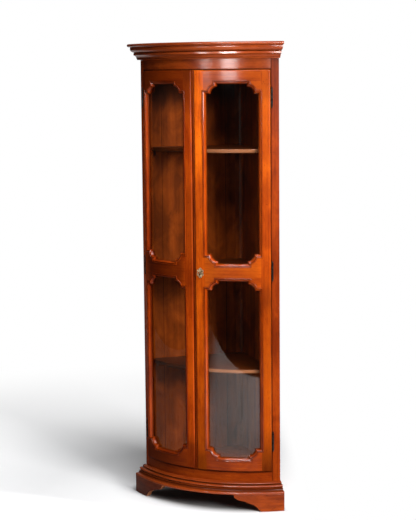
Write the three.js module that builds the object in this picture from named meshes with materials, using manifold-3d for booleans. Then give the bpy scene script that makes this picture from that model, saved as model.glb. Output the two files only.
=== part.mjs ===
// Bow-fronted corner display cabinet with a pair of glazed doors.
// Millimetres, +Z up, +X to the right. The bowed front faces -Y and the two
// flat backs meet in a right angle at the rear corner.
// Origin: on the floor, under the centre of the overall box.
import * as THREE from 'three';
import { mergeVertices } from 'three/addons/utils/BufferGeometryUtils.js';
import Module from 'manifold-3d';

const wasm = await Module();
wasm.setup();

// ---------------------------------------------------------------- sizes
// Overall
const HEIGHT = 1900;
const FRONT_RADIUS = 490; // face of the bowed frame
const HALF_WIDTH = 314; // half the chord across the frame's outer corners

// Running and seating clearances
const SEAT = 0.3; // between pieces that touch
const DOOR_GAP = 1.5; // between a door and the frame round it
const LEAF_GAP = 1; // between the two doors where they meet

// Carcass
const FRAME_THICKNESS = 22;
const STILE_WIDTH = 34;
const PANEL_THICKNESS = 8;
const POST_LEG = 34; // along each wall
const POST_CHAMFER = 11; // narrow face across the inner corner
const BOARD_THICKNESS = 16;
const DOOR_STOP_REACH = 5; // how far a board's edge reaches behind a door
const SHELF_THICKNESS = 16;
const SHELF_SETBACK = 30; // shelf edge behind the frame's face
const UPPER_SHELF_HEIGHT = 1458;
const LOWER_SHELF_HEIGHT = 559;
const CLEAT_SIZE = 18;
const CLEAT_LENGTH = 340;

// Top, cornice and frieze
const TOP_THICKNESS = 14;
const TOP_OVERHANG = 58;
const TOP_UNDERCUT = 13; // the top's rounded edge past the moulding below it
const CORNICE_HEIGHT = 52;
const CORNICE_BAND = 30; // reach of the lower band
const CORNICE_FILLET = 15; // reach of the bottom fillet
const FRIEZE_HEIGHT = 42.5;

// Base and feet
const FOOT_HEIGHT = 71.5;
const FOOT_THICKNESS = 20;
const FOOT_LENGTH = 209; // along its top, from the wall
const FOOT_PAD = 97; // along the floor, from the wall
const BASE_HEIGHT = 44;
const BASE_REACH = 48;
const BASE_TORUS = 30;
const BASE_BEAD = 17;
const BOTTOM_RAIL_SHOWN = 38.5; // above the base moulding

// Doors
const DOOR_THICKNESS = 22;
const DOOR_PROUD = 8; // door face in front of the frame's face
const DOOR_ROUND = 4.5; // eased front edges
// The right door carries the lock and is the wider one. Each width is from a door's edge to the
// glass in sight. Both doors show the same glass, and the left hinge stile takes what is left.
const MEETING_OFFSET = 6.5; // the doors meet this far left of the centre plane
const RIGHT_HINGE_STILE = 49.5;
const RIGHT_MEETING_STILE = 51;
const LEFT_MEETING_STILE = 46;
const TOP_RAIL = 56;
const MIDDLE_RAIL = 72;
const BOTTOM_RAIL = 58;
const MIDDLE_RAIL_HEIGHT = 978; // its centre
const BEAD_WIDTH = 9;
const BEAD_PROUD = 2.5; // bead face in front of the frame's face
const BEAD_THICKNESS = 14;

// Glass and its mouldings
const GLASS_THICKNESS = 3;
const GLASS_RECESS = 13; // glass behind the door's face
const GLASS_HOLD = 6; // held in the groove
const MOULDING_LAP = 8; // part of the moulding inside the opening
const MOULDING_RIM = 6; // part on the door's face
const MOULDING_PROUD = 2.4;
const MOULDING_EDGE = 2.6; // thickness of its thin edge on the glass
const CORNER_STEP = 11;
const CORNER_ROUND = 28;
const CORNER_LEDGE = 19;

// Hinges
const HINGE_LENGTH = 84; // over the finials
const FINIAL_LENGTH = 7;
const KNUCKLE_RADIUS = 4;
const PIN_RADIUS = 1.6;
const PIN_CLEARANCE = 0.3;
const KNUCKLE_OFF = 1; // free space beside and behind the knuckle
const LEAF_THICKNESS = 1.5;
const LEAF_DEPTH = 18; // from the pin into the frame
const DOOR_LEAF_REACH = 23; // from the pin into the door
const DOOR_KNUCKLE = 28; // length of the middle knuckle
const DOOR_LEAF_TURN = 0.35; // slant of the door's leaf into its edge, radians
const TOP_HINGE_INSET = 111; // hinge centre below the door's top
const BOTTOM_HINGE_INSET = 125;
const MIDDLE_HINGE_RISE = 5; // hinge centre above the middle rail's centre

// Lock
const LOCK_INSET = 21.5; // lock centre from the door's edge
const LOCK_DROP = 9; // below the middle rail's centre
const CASE_WIDTH = 28;
const CASE_HEIGHT = 56;
const CASE_DEPTH = 9.7;
const LOCK_BOLT_LENGTH = 26;
const LOCK_BOLT_HEIGHT = 14;
const LOCK_BOLT_THICKNESS = 6;
const LOCK_BOLT_INSET = 0.5; // its tip behind the door's edge
const LOCK_THROW = 15;
const SLIDE_CLEARANCE = 0.4;
const KEYHOLE_RADIUS = 2.6;
const KEYHOLE_DROP = 7;
const ESCUTCHEON_WIDTH = 31;
const ESCUTCHEON_HEIGHT = 45;
const ESCUTCHEON_THICKNESS = 1.6;
const ESCUTCHEON_INSET = 23.1; // its centre from the door's edge
const ESCUTCHEON_HEIGHT_ABOVE_LOCK = 5.5;

// Bolts behind the left door
const BOLT_RADIUS = 3.5;
const BOLT_TAIL = 18; // from the guide to the knob
const BOLT_KNOB_RADIUS = 5.5;
const BOLT_KNOB_LENGTH = 7;
const BOLT_THROW = 14;
const BOLT_CLEAR = 1.8; // between the drawn bolt and its board
const BOLT_INSET = 18; // from the door's edge
const GUIDE_WIDTH = 16;
const GUIDE_LENGTH = 36;
const GUIDE_DEPTH = 13;
const GUIDE_INSET = 38; // guide below the bolt's tip

// ---------------------------------------------------------------- layout
const WALL = Math.PI / 4; // each back stands at 45 degrees to the centre plane
const FACET = Math.PI / 60; // step of the curved faces
const ROUND_STEPS = 4; // along a rounded corner of an opening
const SPAN_STEPS = 5; // along an opening's straight top or bottom
const BAR_SIDES = 12; // round bars, knuckles and holes

const CENTRE_TO_CHORD = Math.sqrt(FRONT_RADIUS ** 2 - HALF_WIDTH ** 2);
const FRONT_REACH = FRONT_RADIUS + TOP_OVERHANG - CENTRE_TO_CHORD;
const CHORD_Y = (FRONT_REACH - HALF_WIDTH) / 2;
const ARC_Y = CHORD_Y + CENTRE_TO_CHORD; // axis of the bow
const CORNER_Y = CHORD_Y + HALF_WIDTH; // rear corner, where the wall planes meet

const FACE_RADIUS = FRONT_RADIUS + DOOR_PROUD;
const DOOR_BACK = DOOR_PROUD - DOOR_THICKNESS;
const STOP_FACE = DOOR_BACK - 2 * SEAT;
const PANEL_FACE = PANEL_THICKNESS + SEAT;
const POST_FACE_Y = CORNER_Y - 2 * PANEL_THICKNESS * Math.sin(WALL) - POST_CHAMFER / 2;

const TOP_LOW = HEIGHT - TOP_THICKNESS;
const CORNICE_LOW = TOP_LOW - CORNICE_HEIGHT;
const FRIEZE_LOW = CORNICE_LOW - FRIEZE_HEIGHT;
const BASE_TOP = FOOT_HEIGHT + BASE_HEIGHT;
const BOTTOM_RAIL_TOP = BASE_TOP + BOTTOM_RAIL_SHOWN;
const DOOR_TOP = FRIEZE_LOW - DOOR_GAP;
const DOOR_LOW = BOTTOM_RAIL_TOP + DOOR_GAP;
const CEILING_LOW = FRIEZE_LOW - SEAT - BOARD_THICKNESS;
const FLOOR_TOP = DOOR_LOW + DOOR_STOP_REACH;

const CORNER_ANGLE = wallAngle(0, 0);
const STILE_EDGE = CORNER_ANGLE - STILE_WIDTH / FRONT_RADIUS;
const DOOR_EDGE = STILE_EDGE - DOOR_GAP / FACE_RADIUS;
const HINGE_ANGLE = DOOR_EDGE + (KNUCKLE_RADIUS + KNUCKLE_OFF) / FACE_RADIUS;
const HINGE_OUT = KNUCKLE_RADIUS + KNUCKLE_OFF;

const GLASS_FRONT = DOOR_PROUD - GLASS_RECESS;
const GROOVE_FRONT = GLASS_FRONT + SEAT;
const GROOVE_BACK = GLASS_FRONT - GLASS_THICKNESS - SEAT;
const SIGHT_TURN = DOOR_EDGE - meetingEdge(1) - (RIGHT_HINGE_STILE + RIGHT_MEETING_STILE) / FACE_RADIUS;
const LAP_TURN = MOULDING_LAP / FACE_RADIUS;

const HINGE_HEIGHTS = [
  DOOR_LOW + BOTTOM_HINGE_INSET,
  MIDDLE_RAIL_HEIGHT + MIDDLE_HINGE_RISE,
  DOOR_TOP - TOP_HINGE_INSET,
];
const BARREL_END = HINGE_LENGTH / 2 - FINIAL_LENGTH;

const LOCK_HEIGHT = MIDDLE_RAIL_HEIGHT - LOCK_DROP;
const LOCK_ANGLE = meetingEdge(1) + LOCK_INSET / FACE_RADIUS;
const CASE_FRONT = DOOR_BACK + CASE_DEPTH;
const LOCK_BOLT_OUT = DOOR_BACK + CASE_DEPTH / 2;
const BOLT_ANGLE = -meetingEdge(-1) - BOLT_INSET / FACE_RADIUS;
const BOLT_OUT = DOOR_BACK - SEAT - GUIDE_DEPTH / 2;
const BOLT_REST_TOP = CEILING_LOW - BOLT_CLEAR;
const BOLT_REST_LOW = FLOOR_TOP + BOLT_CLEAR;

// ---------------------------------------------------------------- finishes
const WOOD = { color: 0xa8441a, roughness: 0.28, metalness: 0 };
const DARK_WOOD = { color: 0x7a3316, roughness: 0.4, metalness: 0 };
const GLASS = { color: 0xdfe8e6, roughness: 0.05, metalness: 0, transparent: true, opacity: 0.3 };
const IRON = { color: 0x241f1c, roughness: 0.45, metalness: 0.9 };
const BRASS = { color: 0xb59a6a, roughness: 0.35, metalness: 0.9 };

// ---------------------------------------------------------------- solids
// A closed manifold-3d solid from a geometry, with shared corners merged.
function solid(geometry) {
  geometry.deleteAttribute('normal');
  geometry.deleteAttribute('uv');
  const merged = mergeVertices(geometry, 1e-4);
  const corners = [];
  for (let i = 0; i < merged.index.count; i += 3) {
    const [a, b, c] = [0, 1, 2].map((k) => merged.index.getX(i + k));
    if (a !== b && b !== c && c !== a) corners.push(a, b, c);
  }
  return new wasm.Manifold(new wasm.Mesh({
    numProp: 3,
    vertProperties: new Float32Array(merged.attributes.position.array),
    triVerts: new Uint32Array(corners),
  }));
}

function part(name, body, finish) {
  const result = body.getMesh();
  const geometry = new THREE.BufferGeometry();
  geometry.setAttribute('position', new THREE.BufferAttribute(result.vertProperties, 3));
  geometry.setIndex(new THREE.BufferAttribute(result.triVerts, 1));
  const mesh = new THREE.Mesh(geometry, new THREE.MeshStandardMaterial(finish));
  mesh.name = name;
  return mesh;
}

function group(...meshes) {
  const holder = new THREE.Group();
  holder.add(...meshes);
  return holder;
}

// Angle at which a circle round the bow's axis meets the right-hand wall plane,
// or a plane set `inset` inside it.
function wallAngle(out, inset) {
  const reach = (CORNER_Y - ARC_Y) * Math.sin(WALL) - inset;
  return WALL + Math.asin(reach / (FRONT_RADIUS + out));
}

// Point of the plan: `angle` round the bow from the centre plane, `out` in front of the frame's face.
function plan(angle, out) {
  const radius = FRONT_RADIUS + out;
  return new THREE.Vector2(radius * Math.sin(angle), ARC_Y - radius * Math.cos(angle));
}

function bow(angle, out, z) {
  const point = plan(angle, out);
  return [point.x, point.y, z];
}

// Angles from one to the other on the common facet grid.
function facetStops(from, to) {
  const stops = [from];
  for (let k = Math.ceil(from / FACET); k * FACET < to; k += 1) {
    const spare = Math.min(k * FACET - from, to - k * FACET);
    if (spare > FACET / 20) stops.push(k * FACET);
  }
  stops.push(to);
  return stops;
}

function arcPoints(from, to, out) {
  return facetStops(from, to).map((angle) => plan(angle, out));
}

// A plan outline raised from `low` to `high`.
function prism(points, low, high) {
  const shape = new THREE.Shape(points);
  const geometry = new THREE.ExtrudeGeometry(shape, { depth: high - low, bevelEnabled: false });
  return solid(geometry.translate(0, 0, low));
}

// A slab of the bow between two depths, two angles and two heights.
function bowSlab(inner, outer, from, to, low, high) {
  const front = arcPoints(from, to, outer);
  const back = arcPoints(from, to, inner).reverse();
  return prism([...front, ...back], low, high);
}

// Skin over rings of points. An open run of rings is capped with `outline`, the rings' flat shape.
function skin(rings, outline) {
  const count = rings[0].length;
  const spans = outline ? rings.length - 1 : rings.length;
  const faces = outline ? caps(outline, spans * count) : [];
  for (let i = 0; i < spans; i += 1) {
    const here = i * count;
    const there = ((i + 1) % rings.length) * count;
    for (let j = 0; j < count; j += 1) {
      const k = (j + 1) % count;
      faces.push([here + j, there + j, there + k], [here + j, there + k, here + k]);
    }
  }
  return closedBody(rings.flat(), faces);
}

// The two flat ends of a skin, one turned against the other.
function caps(outline, end) {
  const clockwise = THREE.ShapeUtils.isClockWise(outline);
  return THREE.ShapeUtils.triangulateShape(outline, []).flatMap((face) => {
    const agrees = THREE.ShapeUtils.isClockWise(face.map((i) => outline[i])) === clockwise;
    const start = agrees ? face : [...face].reverse();
    return [start, [...start].reverse().map((index) => index + end)];
  });
}

// A solid from points and faces, its faces turned to point out.
function closedBody(points, faces) {
  const corner = (index) => new THREE.Vector3(...points[index]);
  const volume = faces.reduce((sum, [a, b, c]) => sum + corner(a).dot(corner(b).cross(corner(c))), 0);
  const turned = volume < 0 ? faces.map(([a, b, c]) => [a, c, b]) : faces;
  const geometry = new THREE.BufferGeometry();
  geometry.setAttribute('position', new THREE.Float32BufferAttribute(points.flat(), 3));
  geometry.setIndex(turned.flat());
  return solid(geometry);
}

// A profile of [out, z] points carried round the bow.
function bowMoulding(profile, from, to) {
  const rings = facetStops(from, to).map((angle) => profile.map(([out, z]) => bow(angle, out, z)));
  return skin(rings, profile.map(([out, z]) => new THREE.Vector2(out, z)));
}

// The mirror image of a solid across the centre plane.
function mirrored(body) {
  const { vertProperties, triVerts } = body.getMesh();
  const points = vertProperties.map((value, i) => (i % 3 === 0 ? -value : value));
  return new wasm.Manifold(new wasm.Mesh({
    numProp: 3,
    vertProperties: points,
    triVerts: triVerts.slice().reverse(),
  }));
}

// A solid made for the right-hand side, as it is or mirrored to the left.
function sided(side, body) {
  return side > 0 ? body : mirrored(body);
}

// A front outline of [angle, z] points pushed through the bow between two depths.
function bowPunch(outline, inner, outer) {
  const rings = [inner, outer].map((out) => outline.map(([angle, z]) => bow(angle, out, z)));
  return skin(rings, outline.map(([angle, z]) => new THREE.Vector2(angle * FACE_RADIUS, z)));
}

// Everything behind one wall plane.
function behindWall(side) {
  const size = 2 * HEIGHT;
  const geometry = new THREE.BoxGeometry(size, size, size);
  geometry.translate(0, size / 2, HEIGHT / 2).rotateZ(-side * WALL).translate(0, CORNER_Y, 0);
  return solid(geometry);
}

function trimAtWalls(body) {
  return body.subtract(behindWall(1)).subtract(behindWall(-1));
}

// A geometry with x along the bow, y up and z outward, stood on the bow at an angle, depth and height.
function stand(geometry, angle, out, z) {
  const along = new THREE.Vector3(Math.cos(angle), Math.sin(angle), 0);
  const outwards = new THREE.Vector3(Math.sin(angle), -Math.cos(angle), 0);
  const frame = new THREE.Matrix4().makeBasis(along, new THREE.Vector3(0, 0, 1), outwards);
  frame.setPosition(...bow(angle, out, z));
  return solid(geometry.applyMatrix4(frame));
}

function standBox(width, height, depth, angle, out, z) {
  return stand(new THREE.BoxGeometry(width, height, depth), angle, out, z);
}

// An upright round bar on the bow.
function standBar(radius, low, high, angle, out) {
  const geometry = new THREE.CylinderGeometry(radius, radius, high - low, BAR_SIDES);
  return stand(geometry, angle, out, (low + high) / 2);
}

// ---------------------------------------------------------------- carcass
// A straight bar along the right-hand wall plane, from one distance out of the corner to another.
function wallBar(from, to, inset, thickness, low, high) {
  const geometry = new THREE.BoxGeometry(to - from, thickness, high - low);
  geometry.translate((from + to) / 2, -inset - thickness / 2, (low + high) / 2);
  return solid(geometry.rotateZ(-WALL).translate(0, CORNER_Y, 0));
}

function backPanel(side) {
  const end = HALF_WIDTH / Math.sin(WALL);
  const panel = wallBar(POST_LEG + SEAT, end, 0, PANEL_THICKNESS, FOOT_HEIGHT, TOP_LOW - SEAT);
  const reach = CORNER_ANGLE + FACET;
  const front = bowSlab(-FRAME_THICKNESS - SEAT, FRAME_THICKNESS, 0, reach, 0, HEIGHT);
  return sided(side, panel.subtract(front));
}

// Angle piece that joins the backs and runs down to the floor, flush with them inside.
function rearPost() {
  const leg = POST_LEG * Math.sin(WALL);
  const depth = PANEL_THICKNESS * Math.sin(WALL);
  const right = [
    new THREE.Vector2(leg, CORNER_Y - leg),
    new THREE.Vector2(leg - depth, CORNER_Y - leg - depth),
    new THREE.Vector2(POST_CHAMFER / 2, POST_FACE_Y),
  ];
  const left = right.map((point) => new THREE.Vector2(-point.x, point.y)).reverse();
  return prism([new THREE.Vector2(0, CORNER_Y), ...right, ...left], 0, TOP_LOW - SEAT);
}

// A board between the backs, its front edge following the bow.
function board(out, low, high) {
  const end = wallAngle(out, PANEL_FACE);
  const rearY = POST_FACE_Y - SEAT;
  const rearX = CORNER_Y - rearY - PANEL_FACE / Math.sin(WALL);
  const rear = [new THREE.Vector2(rearX, rearY), new THREE.Vector2(-rearX, rearY)];
  return prism([...arcPoints(-end, end, out), ...rear], low, high);
}

// The lip of a board that reaches forward between the stiles and stops the doors.
function stopLip(low, high) {
  const end = STILE_EDGE - SEAT / FRONT_RADIUS;
  return bowSlab(-FRAME_THICKNESS - 2 * SEAT, STOP_FACE, -end, end, low, high);
}

function boltHole(low, high) {
  return standBar(BOLT_RADIUS + SLIDE_CLEARANCE, low, high, BOLT_ANGLE, BOLT_OUT);
}

function ceilingBoard() {
  const high = CEILING_LOW + BOARD_THICKNESS;
  const whole = board(-FRAME_THICKNESS - SEAT, CEILING_LOW, high).add(stopLip(CEILING_LOW, high));
  return whole.subtract(boltHole(CEILING_LOW - 1, high + 1));
}

function bottomBoard() {
  const low = FLOOR_TOP - BOARD_THICKNESS;
  const whole = board(-FRAME_THICKNESS - SEAT, low, FLOOR_TOP);
  const lip = stopLip(BOTTOM_RAIL_TOP + SEAT, FLOOR_TOP);
  return whole.add(lip).subtract(boltHole(low - 1, FLOOR_TOP + 1));
}

function shelf() {
  return board(-SHELF_SETBACK, 0, SHELF_THICKNESS);
}

// A strip along the back that a shelf rests on.
function cleat(side) {
  const start = POST_LEG + CLEAT_SIZE;
  const strip = wallBar(start, start + CLEAT_LENGTH, PANEL_FACE, CLEAT_SIZE, -CLEAT_SIZE - SEAT, -SEAT);
  return sided(side, strip);
}

function stile(side) {
  const reach = CORNER_ANGLE + FACET;
  const post = bowSlab(-FRAME_THICKNESS, 0, STILE_EDGE, reach, FOOT_HEIGHT, CORNICE_LOW - SEAT);
  const slots = HINGE_HEIGHTS.map((z) => frameLeafSlot(z));
  return sided(side, slots.reduce((rest, slot) => rest.subtract(slot), trimAtWalls(post)));
}

function frontRail(low, high) {
  const end = STILE_EDGE - SEAT / FRONT_RADIUS;
  return bowSlab(-FRAME_THICKNESS, 0, -end, end, low, high);
}

function bottomRail() {
  const holeLow = BOLT_REST_LOW - BOLT_THROW - BOLT_CLEAR;
  return frontRail(FOOT_HEIGHT, BOTTOM_RAIL_TOP).subtract(boltHole(holeLow, FLOOR_TOP));
}

// A front moulding between two heights, from [out, share of its height] points, trimmed at the walls.
function bandMoulding(back, low, high, members) {
  const points = [[back, 0], ...members, [back, 1]];
  const profile = points.map(([out, share]) => [out, low + share * (high - low)]);
  const reach = CORNER_ANGLE + 2 * FACET;
  return trimAtWalls(bowMoulding(profile, -reach, reach));
}

const CORNICE_RIM = TOP_OVERHANG - TOP_UNDERCUT;

// Flat top; its rounded front edge runs back to the cornice below it.
function topPanel() {
  const edge = bandMoulding(-FRAME_THICKNESS, TOP_LOW, HEIGHT, [
    [CORNICE_RIM, 0], [TOP_OVERHANG - 5, 0.15], [TOP_OVERHANG, 0.5],
    [TOP_OVERHANG - 1, 0.85], [TOP_OVERHANG - 4, 1],
  ]);
  const end = wallAngle(-FRAME_THICKNESS / 2, 0);
  const corner = new THREE.Vector2(0, CORNER_Y);
  return edge.add(prism([...arcPoints(-end, end, -FRAME_THICKNESS / 2), corner], TOP_LOW, HEIGHT));
}

function cornice() {
  return bandMoulding(-FRAME_THICKNESS, CORNICE_LOW, TOP_LOW - SEAT, [
    [CORNICE_FILLET, 0], [CORNICE_FILLET + 2, 0.14], [CORNICE_BAND - 4, 0.27], [CORNICE_BAND, 0.36],
    [CORNICE_BAND, 0.5], [CORNICE_BAND - 3, 0.6], [CORNICE_RIM - 5, 0.7], [CORNICE_RIM - 1, 0.81],
    [CORNICE_RIM, 0.92], [CORNICE_RIM - 1, 1],
  ]);
}

function baseMoulding() {
  return bandMoulding(SEAT, FOOT_HEIGHT, BASE_TOP, [
    [BASE_REACH, 0], [BASE_REACH - 0.5, 0.1], [BASE_REACH - 5, 0.19], [BASE_TORUS + 3, 0.28],
    [BASE_TORUS + 1, 0.4], [BASE_TORUS - 2, 0.47], [BASE_TORUS + 0.5, 0.57], [BASE_TORUS - 4, 0.73],
    [BASE_BEAD - 4, 0.76], [BASE_BEAD, 0.82], [BASE_BEAD - 1, 0.9], [BASE_BEAD - 9, 1],
  ]);
}

// Bracket foot that follows the base; its inner edge rises from the pad in two lobes and a hollow.
function foot(side) {
  const radius = FRONT_RADIUS + BASE_REACH;
  const pad = wallAngle(BASE_REACH, 0) * radius - FOOT_PAD;
  const run = FOOT_LENGTH - FOOT_PAD;
  const end = CORNER_ANGLE + 2 * FACET;
  const at = (share, rise) => new THREE.Vector2(pad - share * run, rise * FOOT_HEIGHT);
  const edge = new THREE.Path();
  edge.moveTo(pad, 0);
  const lobes = [[0.125, 0.38, 0.41, 0.49], [0.52, 0.645, 0.8, 0.66], [0.945, 0.7, 1, 1]];
  for (const [midShare, midRise, share, rise] of lobes) {
    const middle = at(midShare, midRise);
    const next = at(share, rise);
    edge.quadraticCurveTo(middle.x, middle.y, next.x, next.y);
  }
  const curve = edge.getPoints(3).map((point) => [point.x / radius, point.y]);
  const outline = [...curve, [end, FOOT_HEIGHT], [end, 0]];
  const inner = BASE_REACH - FOOT_THICKNESS;
  const slab = bowSlab(inner, BASE_REACH, 0, end, 0, FOOT_HEIGHT - SEAT);
  const cut = bowPunch(outline, inner - FOOT_THICKNESS, BASE_REACH + FOOT_THICKNESS);
  return sided(side, trimAtWalls(slab.intersect(cut)));
}

// ---------------------------------------------------------------- doors
// Where a door's meeting edge lies, counted outward from the centre plane on the door's own side.
function meetingEdge(side) {
  const edge = LEAF_GAP / 2 - side * MEETING_OFFSET;
  return (side > 0 ? edge : edge + BEAD_WIDTH + SEAT) / FACE_RADIUS;
}

// The glass in sight of one door: two openings, one over the other.
function doorOpenings(side) {
  const stile = side > 0 ? RIGHT_MEETING_STILE : LEFT_MEETING_STILE;
  const from = meetingEdge(side) + stile / FACE_RADIUS;
  const to = from + SIGHT_TURN;
  return [
    { from, to, low: DOOR_LOW + BOTTOM_RAIL, high: MIDDLE_RAIL_HEIGHT - MIDDLE_RAIL / 2 },
    { from, to, low: MIDDLE_RAIL_HEIGHT + MIDDLE_RAIL / 2, high: DOOR_TOP - TOP_RAIL },
  ];
}

// The stepped and rounded outline of a glass opening, grown outward, as [angle, z] points.
function openingOutline({ from, to, low, high }, grow) {
  const middle = ((from + to) / 2) * FACE_RADIUS;
  const halfWidth = ((to - from) / 2) * FACE_RADIUS;
  const halfHeight = (high - low) / 2;
  const hubX = halfWidth - CORNER_LEDGE - CORNER_ROUND;
  const hubZ = halfHeight - CORNER_STEP - CORNER_ROUND;
  const round = CORNER_ROUND + grow;
  const start = Math.asin(grow / round);
  const quarter = [[hubX + grow, halfHeight + grow]];
  for (let k = 0; k <= ROUND_STEPS; k += 1) {
    const turn = start + (k / ROUND_STEPS) * (Math.PI / 2 - 2 * start);
    quarter.push([hubX + round * Math.sin(turn), hubZ + round * Math.cos(turn)]);
  }
  quarter.push([halfWidth + grow, hubZ + grow]);
  const flipped = (x, z) => quarter.map(([u, v]) => [u * x, v * z]);
  const span = Array.from({ length: SPAN_STEPS - 1 }, (_, k) => {
    return [(hubX + grow) * (2 * (k + 1) / SPAN_STEPS - 1), halfHeight + grow];
  });
  const loop = [
    ...quarter, ...flipped(1, -1).reverse(), ...span.map(([u, v]) => [-u, -v]),
    ...flipped(-1, -1), ...flipped(-1, 1).reverse(), ...span,
  ];
  return loop.map(([u, v]) => [(middle + u) / FACE_RADIUS, (low + high) / 2 + v]);
}

// The whole slab of a right-hand door, its four front edges eased.
function doorBlank(edge) {
  const profile = [
    [DOOR_BACK, DOOR_LOW], [DOOR_PROUD - DOOR_ROUND, DOOR_LOW], [DOOR_PROUD, DOOR_LOW + DOOR_ROUND],
    [DOOR_PROUD, DOOR_TOP - DOOR_ROUND], [DOOR_PROUD - DOOR_ROUND, DOOR_TOP], [DOOR_BACK, DOOR_TOP],
  ];
  const turn = (2 * DOOR_ROUND) / FACE_RADIUS;
  const front = arcPoints(edge + turn, DOOR_EDGE - turn, DOOR_PROUD + DOOR_ROUND);
  const back = arcPoints(edge, DOOR_EDGE, DOOR_BACK - DOOR_ROUND).reverse();
  const start = plan(edge, DOOR_PROUD - DOOR_ROUND);
  const end = plan(DOOR_EDGE, DOOR_PROUD - DOOR_ROUND);
  const sides = prism([start, ...front, end, ...back], DOOR_LOW - 1, DOOR_TOP + 1);
  return bowMoulding(profile, edge - turn, DOOR_EDGE + turn).intersect(sides);
}

// A member of a door: the part of the blank between two angles and two heights.
function member(blank, from, to, low, high) {
  return blank.intersect(bowSlab(-2 * DOOR_THICKNESS, 2 * DOOR_THICKNESS, from, to, low, high));
}

// A rectangle of the bow behind an opening, grown past the glass in sight.
function paneSlab({ from, to, low, high }, grow, inner, outer) {
  const turn = grow / FACE_RADIUS;
  return bowSlab(inner, outer, from - turn, to + turn, low - grow, high + grow);
}

function groove(opening) {
  return paneSlab(opening, MOULDING_LAP + GLASS_HOLD + SEAT, GROOVE_BACK, GROOVE_FRONT);
}

// The groove for the glass, the straight opening behind it and the shaped one in front.
function glazing(opening) {
  const middle = (GROOVE_BACK + GROOVE_FRONT) / 2;
  const rear = paneSlab(opening, MOULDING_LAP, DOOR_BACK - DOOR_ROUND, middle);
  const front = bowPunch(openingOutline(opening, MOULDING_LAP), middle, 2 * DOOR_THICKNESS);
  return groove(opening).add(rear).add(front);
}

function hingeStile(openings) {
  const inner = openings[0].to + LAP_TURN;
  const blank = member(doorBlank(meetingEdge(1)), inner, DOOR_EDGE + LAP_TURN, DOOR_LOW - 1, DOOR_TOP + 1);
  const cuts = [...openings.map(groove), ...HINGE_HEIGHTS.map(doorLeafSlot)];
  return cuts.reduce((rest, cut) => rest.subtract(cut), blank);
}

function meetingStile(side, openings) {
  const edge = meetingEdge(side);
  const outer = openings[0].from - LAP_TURN;
  const post = member(doorBlank(edge), edge - LAP_TURN, outer, DOOR_LOW - 1, DOOR_TOP + 1);
  const grooved = sided(side, openings.reduce((rest, opening) => rest.subtract(groove(opening)), post));
  if (side < 0) return grooved.subtract(lockMortise());
  return grooved.subtract(caseRecess()).subtract(lockBoltSlot()).subtract(keyhole(2 * DOOR_THICKNESS));
}

function doorRail(low, high, openings) {
  const from = openings[0].from - LAP_TURN + SEAT / FACE_RADIUS;
  const to = openings[0].to + LAP_TURN - SEAT / FACE_RADIUS;
  const blank = member(doorBlank(meetingEdge(1)), from, to, low, high);
  return openings.reduce((rest, opening) => rest.subtract(glazing(opening)), blank);
}

function pane(opening) {
  return paneSlab(opening, MOULDING_LAP + GLASS_HOLD, GLASS_FRONT - GLASS_THICKNESS, GLASS_FRONT);
}

// Moulding round an opening: an outer bead, a quirk, then a slope down to the glass.
function glazingMoulding(opening) {
  const face = DOOR_PROUD + SEAT;
  const top = DOOR_PROUD + MOULDING_PROUD;
  const rim = MOULDING_LAP + MOULDING_RIM;
  const profile = [
    [0, GROOVE_FRONT], [MOULDING_LAP - SEAT, GROOVE_FRONT], [MOULDING_LAP - SEAT, face], [rim, face],
    [rim - 1, top], [rim - 3, top], [rim - 4, face + SEAT], [0, GROOVE_FRONT + MOULDING_EDGE],
  ];
  const outlines = profile.map(([grow]) => openingOutline(opening, grow));
  const rings = outlines[0].map((_, k) => profile.map(([, out], i) => {
    const [angle, z] = outlines[i][k];
    return bow(angle, out, z);
  }));
  return skin(rings);
}

// Rounded strip that fills the gap where the doors meet; it belongs to the left door.
function meetingBead() {
  const to = meetingEdge(1) - LEAF_GAP / FACE_RADIUS;
  const from = to - BEAD_WIDTH / FACE_RADIUS;
  const ease = BEAD_PROUD / FACE_RADIUS;
  const outline = [
    plan(from, BEAD_PROUD - BEAD_THICKNESS), plan(from, 0), plan(from + ease, BEAD_PROUD),
    plan(to - ease, BEAD_PROUD), plan(to, 0), plan(to, BEAD_PROUD - BEAD_THICKNESS),
  ];
  return prism(outline, DOOR_LOW, DOOR_TOP).subtract(lockMortise());
}

// ---------------------------------------------------------------- hinges
function barrel(radius, low, high) {
  const geometry = new THREE.CylinderGeometry(radius, radius, high - low, BAR_SIDES);
  return solid(geometry.translate(0, (low + high) / 2, 0));
}

// A small turned finial standing on the end of the knuckle.
function finial() {
  const profile = [[0, -0.15], [0.6, -0.15], [0.6, 0.1], [0.8, 0.45], [0.65, 0.75], [0, 1]];
  const points = profile.map(([share, rise]) => {
    return new THREE.Vector2(share * KNUCKLE_RADIUS, rise * FINIAL_LENGTH);
  });
  return new THREE.LatheGeometry(points, BAR_SIDES);
}

// Local axes of both leaves: x round the bow, y up, z outward, the pin at the origin.
function frameLeafShape() {
  const plateHigh = BARREL_END - 2;
  const plate = new THREE.BoxGeometry(LEAF_THICKNESS, 2 * plateHigh, LEAF_DEPTH);
  const leaf = solid(plate.translate(0, 0, -LEAF_DEPTH / 2));
  const half = DOOR_KNUCKLE / 2;
  const window = barrel(KNUCKLE_RADIUS + SEAT, -half - SEAT, half + SEAT);
  const high = finial().translate(0, BARREL_END, 0);
  const low = finial().rotateZ(Math.PI).translate(0, -BARREL_END, 0);
  return leaf.subtract(window)
    .add(barrel(KNUCKLE_RADIUS, half + SEAT, BARREL_END))
    .add(barrel(KNUCKLE_RADIUS, -BARREL_END, -half - SEAT))
    .add(barrel(PIN_RADIUS, -BARREL_END + 1, BARREL_END - 1))
    .add(solid(high)).add(solid(low));
}

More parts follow.
